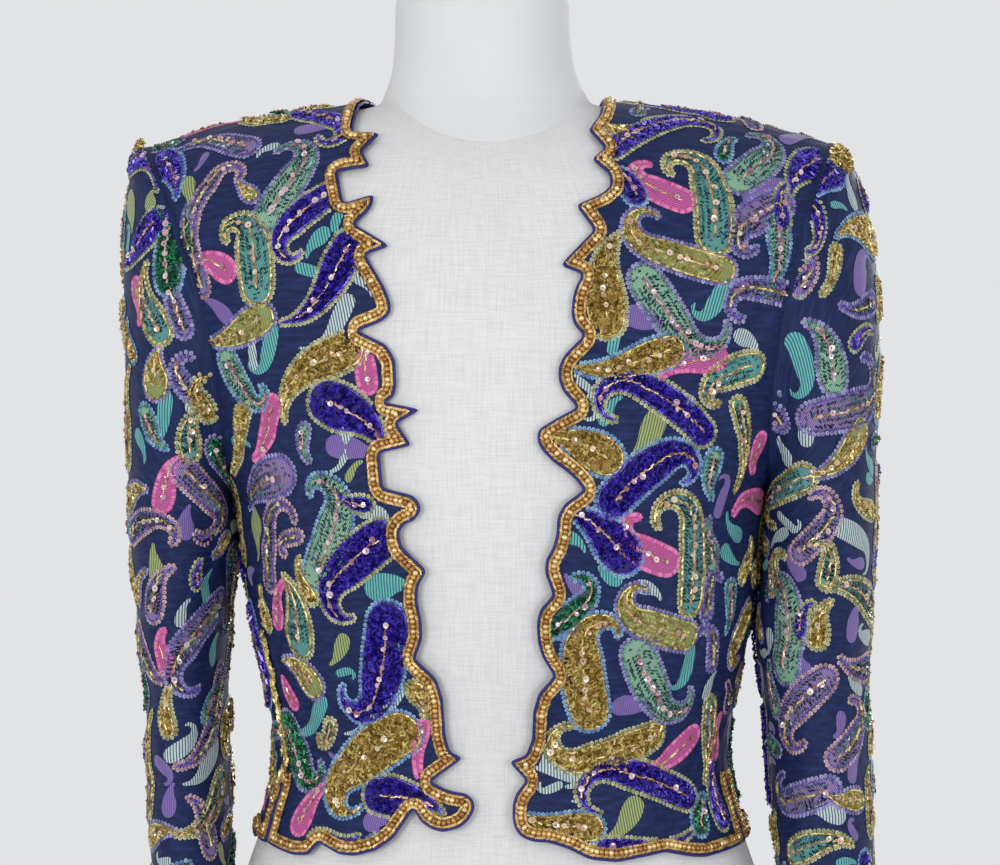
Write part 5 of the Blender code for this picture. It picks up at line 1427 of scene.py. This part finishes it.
def place_from_view(work, rows, pick, keep=None):
    mm = CAM_DIST / CAM_F
    for family, u0, v0, u1, v1, width, curl in rows:
        a0, b0 = pick(u0, v0)
        a1, b1 = pick(u1, v1)
        face = work.face
        a1 = a0 + (a1 - a0 + face.span / 2) % face.span - face.span / 2
        g = face.mix(face.g, np.array((a0 + a1) / 2), np.array((b0 + b1) / 2))
        dx, dy = g @ np.array([a1 - a0, b1 - b0])
        chord = min(math.hypot(dx, dy), math.hypot(u1 - u0, v1 - v0) * mm * 1.35)
        flat = family[0] == "I"
        m = paisley(max(chord, 0.008) * 1.04, width * mm * (1.20 if flat else 1.09), curl, math.atan2(dx, dy))
        work.motif(family, a0, b0, m)
        work.take(a0, b0, m, FLAT_RIM if flat else BEAD_RIM)


BEAD_RIM, FLAT_RIM = 0.0026, 0.0002
SIZES = [
    # family group, chord and width in metres, gap left to the neighbours
    ("ABCDEGAB", (0.046, 0.062), (0.0150, 0.0205), -0.0002),
    ("ABCDEFGH", (0.032, 0.046), (0.0110, 0.0160), -0.0004),
    ("CDEFEGHB", (0.021, 0.032), (0.0075, 0.0110), -0.0004),
    ("CDEHFG", (0.015, 0.022), (0.0060, 0.0080), -0.0004),
    ("I", (0.016, 0.028), (0.0075, 0.0115), -0.0006),
    ("I", (0.009, 0.017), (0.0050, 0.0080), -0.0006),
]


def scatter(work, sample, tries):
    """Fill what is left of a face with paisleys that keep clear of the rest."""
    for (group, chords, widths, gap), count in zip(SIZES, tries):
        for _ in range(count):
            a, b = sample()
            family = group[rng.integers(len(group))]
            if family == "I":
                family = ("Iv", "It", "Is", "Io")[rng.integers(4)]
            hook = rng.choice([-1, 1]) * (rng.uniform(165, 215) if rng.random() < 0.55 else rng.uniform(40, 80))
            chord = rng.uniform(*chords)
            width = rng.uniform(*widths)
            rim = FLAT_RIM if group == "I" else BEAD_RIM
            m = paisley(chord, width, hook, rng.uniform(0, 2 * math.pi))
            if work.fits(a, b, m, gap, rim):
                work.motif(family, a, b, m)
                work.take(a, b, m, rim)


# ------------------------------------------------------------------ edging
def edge_rows(face, free, loop):
    """Lines beside a free edge at true distances: returns a function."""
    p = np.array(resample(free, 0.0006))
    run = np.concatenate([[0], np.cumsum(np.linalg.norm(np.diff(face.at(p[:, 0], p[:, 1]), axis=0), axis=1))])
    at = np.linspace(0, run[-1], int(run[-1] / 0.0005) + 2)
    p = np.stack([np.interp(at, run, p[:, 0]), np.interp(at, run, p[:, 1])], 1)
    q = face.at(p[:, 0], p[:, 1])
    e1, e2, n = face.frames(p[:, 0], p[:, 1])
    tangent = unit(np.gradient(q, axis=0))
    inward = np.cross(n, tangent)
    x, y = (inward * e1).sum(-1), (inward * e2).sum(-1)
    g = np.linalg.inv(face.mix(face.g, p[:, 0], p[:, 1]))
    da = g[:, 0, 0] * x + g[:, 0, 1] * y
    db = g[:, 1, 0] * x + g[:, 1, 1] * y
    test = p[len(p) // 2:len(p) // 2 + 1] + np.array([[da[len(p) // 2], db[len(p) // 2]]]) * 0.002
    sign = 1.0 if distance_to_loop(test, loop)[1][0] else -1.0

    def line(inset, passes=3):
        c = p + sign * inset * np.stack([da, db], 1)
        c[:, 1] = np.minimum(c[:, 1], T_TOP - 0.0004)
        z = face.at(c[:, 0], c[:, 1])
        keep = np.ones(len(c), bool)
        for k in range(0, len(c), 400):
            lo, hi = max(0, k - 160), min(len(q), k + 560)
            d = np.linalg.norm(z[k:k + 400, None, :] - q[None, lo:hi, :], axis=2).min(1)
            keep[k:k + 400] = d > inset * 0.955
        c = c[keep]
        for _ in range(passes):
            c[1:-1] = 0.5 * c[1:-1] + 0.25 * (c[:-2] + c[2:])
        return c
    return line


def spaced(face, line, step, phase=0.5):
    q = face.at(line[:, 0], line[:, 1])
    run = np.concatenate([[0], np.cumsum(np.linalg.norm(np.diff(q, axis=0), axis=1))])
    n = max(2, int(run[-1] / step))
    at = (np.arange(n) + phase) * run[-1] / n
    a, b = np.interp(at, run, line[:, 0]), np.interp(at, run, line[:, 1])
    a2, b2 = np.interp(at + 0.0006, run, line[:, 0]), np.interp(at + 0.0006, run, line[:, 1])
    a0, b0 = np.interp(at - 0.0006, run, line[:, 0]), np.interp(at - 0.0006, run, line[:, 1])
    d = face.at(a2, b2) - face.at(a0, b0)
    e1, e2, _ = face.frames(a, b)
    return a, b, np.arctan2((d * e2).sum(-1), (d * e1).sum(-1))


def edging(name, face, free, loop, slit=None):
    work = Work(face, name, lambda a, b: np.ones(np.shape(a)))
    if slit:
        p = np.array([q for q in side_line(slit, -1) if SLIT_EDGING_TOP - 0.006 < q[1] < SIDES[
            "left" if slit > 0 else "right"]["slit_top"] + 0.012])
        run = np.sort(rng.random(430) ** 1.35) * (len(p) - 1)
        wide = 0.0009 + 0.0015 * np.clip(1.25 - 1.5 * run / (len(p) - 1), 0, 1)
        a = np.interp(run, np.arange(len(p)), p[:, 0]) + rng.normal(0, 1, len(run)) * wide
        b = np.interp(run, np.arange(len(p)), p[:, 1])
        n = len(run)
        work.put("bugle", "gold", a, b, math.pi / 2 + rng.normal(0, 0.5, n), rng.uniform(0.0010, 0.0024, n),
                 rng.uniform(0.0022, 0.0034, n), 0.0013, 0.0013, rng.normal(0, 0.25, n))
        a, b = p[:, 0], p[:, 1]
        work.put("ball", "edge", a, b, 0.0, 0.0016, 0.0028, 0.0028, 0.0026)
    line = edge_rows(face, free, loop)
    # a ribbon of gold thread, its dark brown painted shade for the gaps between beads and cords, a row of round beads
    # on it and a cord each side
    a, b, ang = spaced(face, line(0.0047, 2), 0.0013)
    work.put("plate", "base", a, b, ang, 0.00045, 0.0026, 0.0058, 1.0)
    a, b, ang = spaced(face, line(0.0047, 2), 0.0030)
    n = len(a)
    work.put("ball", "edge", a, b, ang, 0.0014 + rng.normal(0, 0.00022, n), rng.uniform(0.0031, 0.0037, n),
             rng.uniform(0.0035, 0.0041, n), rng.uniform(0.0029, 0.0035, n), rng.normal(0, 0.18, n))
    for inset, turn in ((0.0022, 0.6), (0.0072, -0.6)):
        a, b, ang = spaced(face, line(inset, 2), 0.0013)
        n = len(a)
        work.put("tube", "cord", a, b, ang + turn + rng.normal(0, 0.12, n), 0.0010, rng.uniform(0.0020, 0.0026, n),
                 0.0011, 0.0013)
    obj = work.build()
    # blue roll along the very edge
    c = line(0.0007, 1)
    a, b, ang = spaced(face, c, 0.0012)
    p, (e1, e2, n) = face.at(a, b), face.frames(a, b)
    t = unit(np.gradient(p, axis=0))
    side = unit(np.cross(n, t))
    rings = []
    for k in range(6):
        th = 2 * math.pi * k / 6
        rings.append(p - n * (SHELL * 0.4) + side * 0.00095 * math.cos(th) + n * 0.0009 * math.sin(th))
    v = np.stack(rings, 1)
    m = len(p)
    j, i = np.meshgrid(np.arange(m - 1), np.arange(6), indexing="ij")
    i1 = (i + 1) % 6
    q = np.stack([j * 6 + i, j * 6 + i1, (j + 1) * 6 + i1, (j + 1) * 6 + i], -1).reshape(-1, 4)
    ends = np.array([[0, 3, 2, 1], [0, 5, 4, 3]])
    ends2 = (m - 1) * 6 + np.array([[0, 1, 2, 3], [0, 3, 4, 5]])
    roll = fast_mesh(name + "_roll", v.reshape(-1, 3), np.vstack([q, ends, ends2]), 4, True, [MATS["rim"]])
    bm = bmesh.new()
    bm.from_mesh(roll.data)
    bmesh.ops.recalc_face_normals(bm, faces=bm.faces)
    bm.to_mesh(roll.data)
    bm.free()
    return obj, roll


# -------------------------------------------------------------- dress form
def form_ring(z, sides):
    ang = 2 * math.pi * np.arange(sides) / sides
    s, c = np.sin(ang), np.cos(ang)
    front = c >= 0
    a = float(form_half(z))

    def inside(r):
        x, y = r * s, r * c
        xa = np.minimum(np.abs(x) / a, 1.0)
        close = (1 - xa ** 7) ** (1 / 7)
        worn = close * depth_at(x, np.full_like(x, z), front, FORM_GAP_Y, FORM_GAP_TOP)
        if z <= Z_CAP:
            b = np.where(front, float(form_front(z)), float(form_back(z)))
            d = b * (1 - xa ** N_ROUND) ** (1 / N_ROUND)
            if z > 0.455:
                k = (z - 0.455) / (Z_CAP - 0.455)
                d = (1 - k) * d + k * worn
        else:
            d = worn
        return (np.abs(x) < a) & (np.abs(y) < d)
    lo, hi = np.zeros(sides), np.full(sides, 0.25)
    for _ in range(26):
        mid = 0.5 * (lo + hi)
        ok = inside(mid)
        lo, hi = np.where(ok, mid, lo), np.where(ok, hi, mid)
    r = lo
    if z > 0.640:
        rn = 1.0 / np.sqrt((s / float(neck_rx(z))) ** 2 + (c / float(neck_ry(z))) ** 2)
        r = (r ** 14 + rn ** 14) ** (1 / 14)
    return placed(r * s, -r * c, np.full(sides, z)), ang


def scaled_ring(ring, k, z):
    c = ring.mean(axis=0)
    out = c + (ring - c) * k
    out[:, 2] = z
    return out


def form_piece(name, mat, above):
    sides = 112
    base, ang = form_ring(0.012, sides)
    rings = [scaled_ring(base, 0.965, 0.0), scaled_ring(base, 0.990, 0.004)]
    levels = np.concatenate([np.linspace(0.018, 0.520, 50), np.linspace(0.530, 0.645, 20),
                             np.linspace(0.648, 0.756, 50)])
    rings += [form_ring(float(z), sides)[0] for z in levels]
    top = rings[-1]
    rings += [scaled_ring(top, 0.990, 0.7590), scaled_ring(top, 0.965, 0.7625), scaled_ring(top, 0.92, 0.7645),
              scaled_ring(top, 0.80, 0.7654), scaled_ring(top, 0.40, 0.7655)]
    grid = np.array(rings)
    run = np.concatenate([[0], np.cumsum(np.linalg.norm(np.diff(grid, axis=0), axis=2).max(1))])
    # where the neck's cover is sewn on: an arc that dips in front
    over = grid[..., 2] - (NECK_SEAM_Z + NECK_SEAM_SLOPE * grid[..., 1] + NECK_SEAM_ARC * grid[..., 0] ** 2)
    cut = np.empty(sides)
    for i in range(sides):
        j = int(np.argmax(over[:, i] > 0))
        cut[i] = j - over[j, i] / (over[j, i] - over[j - 1, i])
    last = len(rings) - 1.0
    if above:
        share = np.linspace(0, 1, 46)[:, None]
        at = cut[None, :] + (last - cut[None, :]) * share
    else:
        share = np.concatenate([np.linspace(0, 0.93, 78), np.linspace(0.94, 1, 10)])[:, None]
        at = cut[None, :] * share
    j0 = np.minimum(at.astype(int), len(rings) - 2)
    f = (at - j0)[..., None]
    col = np.broadcast_to(np.arange(sides)[None, :], at.shape)
    p = grid[j0, col] * (1 - f) + grid[j0 + 1, col] * f
    height = run[j0] * (1 - f[..., 0]) + run[j0 + 1] * f[..., 0]
    # both covers turn in a little at the seam
    d = np.abs(height - np.interp(cut, np.arange(len(run)), run)[None, :])
    k = 1 - 0.006 * np.clip(1 - d / 0.0018, 0, 1) ** 2
    mid = p[..., :2].mean(axis=1, keepdims=True)
    p[..., :2] = mid + (p[..., :2] - mid) * k[..., None]
    rows = len(p)
    around = np.concatenate([ang, [2 * math.pi]]) * 0.15
    j, i = np.meshgrid(np.arange(rows - 1), np.arange(sides), indexing="ij")
    i1 = (i + 1) % sides
    quad = np.stack([j * sides + i, j * sides + i1, (j + 1) * sides + i1, (j + 1) * sides + i], -1).reshape(-1, 4)
    verts = np.vstack([p.reshape(-1, 3), p[0].mean(axis=0), p[-1].mean(axis=0)])
    c = rows * sides
    k0 = np.arange(sides)
    k1 = (k0 + 1) % sides
    caps = np.vstack([np.stack([k1, k0, np.full(sides, c)], 1),
                      np.stack([k0, k1, np.full(sides, c + 1)], 1) + [(rows - 1) * sides, (rows - 1) * sides, 0]])
    tris = np.vstack([quad[:, [0, 1, 2]], quad[:, [0, 2, 3]], caps])
    obj = fast_mesh(name, verts, tris, 3, True, [mat])
    # lengths for the weave, kept on each face so that they close behind
    corner = np.concatenate([np.stack([i, i + 1, i + 1, i], -1).reshape(-1, 4)[:, s].ravel()
                             for s in ([0, 1, 2], [0, 2, 3])]).reshape(-1)
    level = np.concatenate([np.stack([j, j, j + 1, j + 1], -1).reshape(-1, 4)[:, s].ravel()
                            for s in ([0, 1, 2], [0, 2, 3])]).reshape(-1)
    uv = np.stack([around[corner], height[level, corner % sides]], 1)
    flat = verts[caps.ravel()][:, :2]
    layer = obj.data.uv_layers.new(name="UVMap")
    layer.data.foreach_set("uv", np.vstack([uv, flat]).astype(np.float32).ravel())
    obj.data.set_sharp_from_angle(angle=math.radians(50))
    return obj


# ------------------------------------------------------------------- build
def grid_field(face, loop, frees):
    """How far inside a panel a place is, and clear of its gold edging."""
    a = face.a0 + np.arange(face.na) * face.da
    b = face.b0 + np.arange(face.nb) * face.db
    arr = np.array(loop)
    lo, hi = arr.min(0) - 0.02, arr.max(0) + 0.02
    wrapped = hi[0] > math.pi * CHART_R
    if wrapped:
        a = np.where(a < lo[0], a + face.span, a)
    aa, bb = np.meshgrid(a, b)
    near = (aa > lo[0]) & (aa < hi[0]) & (bb > lo[1]) & (bb < hi[1])
    pts = np.stack([aa[near], bb[near]], 1)
    d, inside = distance_to_loop(pts, loop)
    clear = np.where(inside, d, -d)
    p = face.p[near]
    for free in frees:
        q = np.array(resample(free, 0.0015))
        q = face.at(q[:, 0], q[:, 1])
        for k in range(0, len(p), 3000):
            e = np.linalg.norm(p[k:k + 3000, None, :] - q[None], axis=2).min(1)
            sign = np.where(inside[k:k + 3000], 1, -1)
            clear[k:k + 3000] = np.minimum(clear[k:k + 3000], sign * e - 0.0076)
    out = np.full(aa.shape, -0.05)
    out[near] = clear
    return lambda s, t: face.mix(out, np.asarray(s, float), np.asarray(t, float))


torso = torso_face()
arms = {-1: sleeve_face(-1), 1: sleeve_face(1)}
cloth = cloth_material()
pieces = []


def carry(obj, *nodes, slot=None):
    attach(obj, "root")
    if nodes:
        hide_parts(*nodes)
    pieces.append(obj)
    return obj


SHOULDER_HEAP = {"right": (150, 147), "left": (840, 157)}   # pixels of the front view
areas = {}
for side, tag, rows in ((-1, "right", BODY_RIGHT), (1, "left", BODY_LEFT)):
    loop, frees = front_parts(side)
    obj, areas["cloth_front_" + tag] = panel_shell("cloth_front_" + tag, torso, loop, 0.0042, cloth)
    carry(obj, "front_" + tag, slot="cloth")
    clear = grid_field(torso, loop, frees)
    aa = torso.a0 + np.arange(torso.na) * torso.da
    keep = np.broadcast_to((np.cos(aa / CHART_R) > -0.05)[None, :], (torso.nb, torso.na))
    work = Work(torso, "beads_front_" + tag, clear)
    place_from_view(work, rows, picker(torso, keep))
    arr = np.array(loop)
    lo, hi = arr.min(0), arr.max(0)
    scatter(work, lambda lo=lo, hi=hi: (rng.uniform(lo[0], hi[0]), rng.uniform(lo[1], hi[1])),
            (400, 900, 2200, 2600, 1200, 500))
    carry(work.build(), slot="cloth")
    gold, roll = edging("gold_front_" + tag, torso, frees[0], loop, side if side < 0 else None)
    carry(gold, "edging_front_" + tag, slot="gold")
    carry(roll, slot="cloth")

loop, frees = back_parts()
obj, areas["cloth_back"] = panel_shell("cloth_back", torso, loop, 0.0060, cloth)
carry(obj, "back", slot="cloth")
work = Work(torso, "beads_back", grid_field(torso, loop, frees))
arr = np.array(loop)
lo, hi = arr.min(0), arr.max(0)
scatter(work, lambda: (rng.uniform(lo[0], hi[0]), rng.uniform(lo[1], hi[1])), (1300, 1800, 2200, 2000, 2400, 1200))
patches, work.patches = work.patches, []
for keep_side in (-1, 1):
    if keep_side > 0:
        work.patches = []
    carry(work.build(keep_side), slot="cloth")
work.items, work.patches, work.name = {}, patches, "stitch_back"
carry(work.build(), slot="cloth")
for name, free, node in (("gold_hem_back", frees[0], "edging_hem_back"), ("gold_neck_back", frees[1], "edging_neck_back")):
    gold, roll = edging(name, torso, free, loop)
    carry(gold, node, slot="gold")
    carry(roll, slot="cloth")

for side, tag, rows in ((-1, "right", SLEEVE_RIGHT_FRONT), (1, "left", SLEEVE_LEFT_FRONT)):
    face = arms[side]
    obj, areas["cloth_sleeve_" + tag] = sleeve_shell("cloth_sleeve_" + tag, face, side, cloth)
    carry(obj, "sleeve_" + tag, slot="cloth")
    b_top, b_low = face.b0 + face.db * (face.nb - 1), face.b0

    def clear(a, b, top=b_top, low=b_low):
        return np.minimum(top - 0.002 - np.asarray(b), np.asarray(b) - low - 0.003)
    work = Work(face, "beads_sleeve_" + tag, clear)
    pick = picker(face, np.ones((face.nb, face.na), bool))
    place_from_view(work, rows, pick)
    heap = pick(*(SHOULDER_HEAP[tag]))
    work.heap(heap[0], heap[1], 0.0110, 0.0055, 420)
    scatter(work, lambda: (rng.uniform(face.a0, face.a0 + face.span), rng.uniform(b_low, b_top)),
            (900, 1600, 2600, 2600, 1600, 900))
    carry(work.build(), slot="cloth")

carry(form_piece("form_cover", cover_material("form_weave", srgb(236, 236, 236), 0.00105, 0.00030, 0.85, 0.075), False),
      "form_torso", slot="cover")
carry(form_piece("form_neck_cover", cover_material("form_jersey", srgb(232, 233, 234), 0.00060, 0.00012, 0.80), True),
      "form_neck", slot="jersey")

# ------------------------------------------------------------------- stage
FLOOR_TONE = srgb(226, 227, 229)
world = bpy.data.worlds.new("studio")
bpy.context.scene.world = world
world.use_nodes = True
world.node_tree.nodes["Background"].inputs["Color"].default_value = FLOOR_TONE
world.node_tree.nodes["Background"].inputs["Strength"].default_value = 1.0

floor_rings = [0.0, 0.3, 0.6, 0.9, 1.2, 1.6, 2.2, 3.5, 6.0, 12.0]
verts, quads = [], []
for r in floor_rings[1:]:
    for k in range(64):
        th = 2 * math.pi * k / 64
        verts.append((r * math.cos(th), r * math.sin(th), -0.0004))
verts.append((0, 0, -0.0004))
tri = [(len(verts) - 1, k, (k + 1) % 64) for k in range(64)]
for j in range(len(floor_rings) - 2):
    for k in range(64):
        m = (k + 1) % 64
        a, b, c, d = j * 64 + k, j * 64 + m, (j + 1) * 64 + m, (j + 1) * 64 + k
        tri += [(a, d, c), (a, c, b)]
floor_mat = bpy.data.materials.new("floor_pale")
floor_mat.use_nodes = True
tree = floor_mat.node_tree
shader = tree.nodes["Principled BSDF"]
shader.inputs["Base Color"].default_value = srgb(222, 223, 225)
shader.inputs["Roughness"].default_value = 0.9
shader.inputs["Specular IOR Level"].default_value = 0.1
glow = tree.nodes.new("ShaderNodeEmission")
glow.inputs["Color"].default_value = FLOOR_TONE
coord = tree.nodes.new("ShaderNodeTexCoord")
length = tree.nodes.new("ShaderNodeVectorMath")
length.operation = "LENGTH"
tree.links.new(coord.outputs["Object"], length.inputs[0])
fade = tree.nodes.new("ShaderNodeMapRange")
fade.interpolation_type = "SMOOTHSTEP"
fade.inputs["From Min"].default_value = 0.45
fade.inputs["From Max"].default_value = 1.5
tree.links.new(length.outputs["Value"], fade.inputs["Value"])
blend = tree.nodes.new("ShaderNodeMixShader")
tree.links.new(fade.outputs["Result"], blend.inputs["Fac"])
tree.links.new(shader.outputs["BSDF"], blend.inputs[1])
tree.links.new(glow.outputs["Emission"], blend.inputs[2])
tree.links.new(blend.outputs["Shader"], tree.nodes["Material Output"].inputs["Surface"])
floor = fast_mesh("floor", np.array(verts), np.array(tri), 3, False, [floor_mat])


def area_light(name, loc, target, size, power, colour=(1, 1, 1)):
    data = bpy.data.lights.new(name, "AREA")
    data.shape = "DISK"
    data.size = size
    data.energy = power
    data.color = colour
    obj = bpy.data.objects.new(name, data)
    obj.location = loc
    obj.rotation_euler = (Vector(target) - Vector(loc)).to_track_quat("-Z", "Y").to_euler()
    bpy.context.scene.collection.objects.link(obj)
    return obj


area_light("key", (-0.9, -2.3, 0.60), (0, 0, 0.32), 0.9, 17, (1.0, 0.985, 0.965))
area_light("fill", (1.3, -2.0, 0.16), (0, 0, 0.24), 1.0, 14, (0.965, 0.98, 1.0))
area_light("back", (0.9, 2.2, 1.1), (0, 0, 0.40), 1.2, 17)

cam_data = bpy.data.cameras.new("camera")
cam_data.lens = CAM_F / 1000.0 * 36.0
cam_data.sensor_width = 36.0
cam_data.clip_start, cam_data.clip_end = 0.05, 60.0
cam = bpy.data.objects.new("camera", cam_data)
cam.location = (CAM_DIST * math.sin(CAM_TURN), -CAM_DIST * math.cos(CAM_TURN), CAM_Z)
cam.rotation_euler = (math.radians(90), 0, CAM_TURN)
bpy.context.scene.collection.objects.link(cam)
bpy.context.scene.camera = cam
bpy.context.scene.view_settings.view_transform = "Standard"

total = 0
for obj in pieces:
    n = sum(len(p.vertices) - 2 for p in obj.data.polygons)
    total += n
    print("piece", obj.name, n, "triangles")
print("all", total, "triangles; cloth areas", {k: round(v, 4) for k, v in areas.items()})
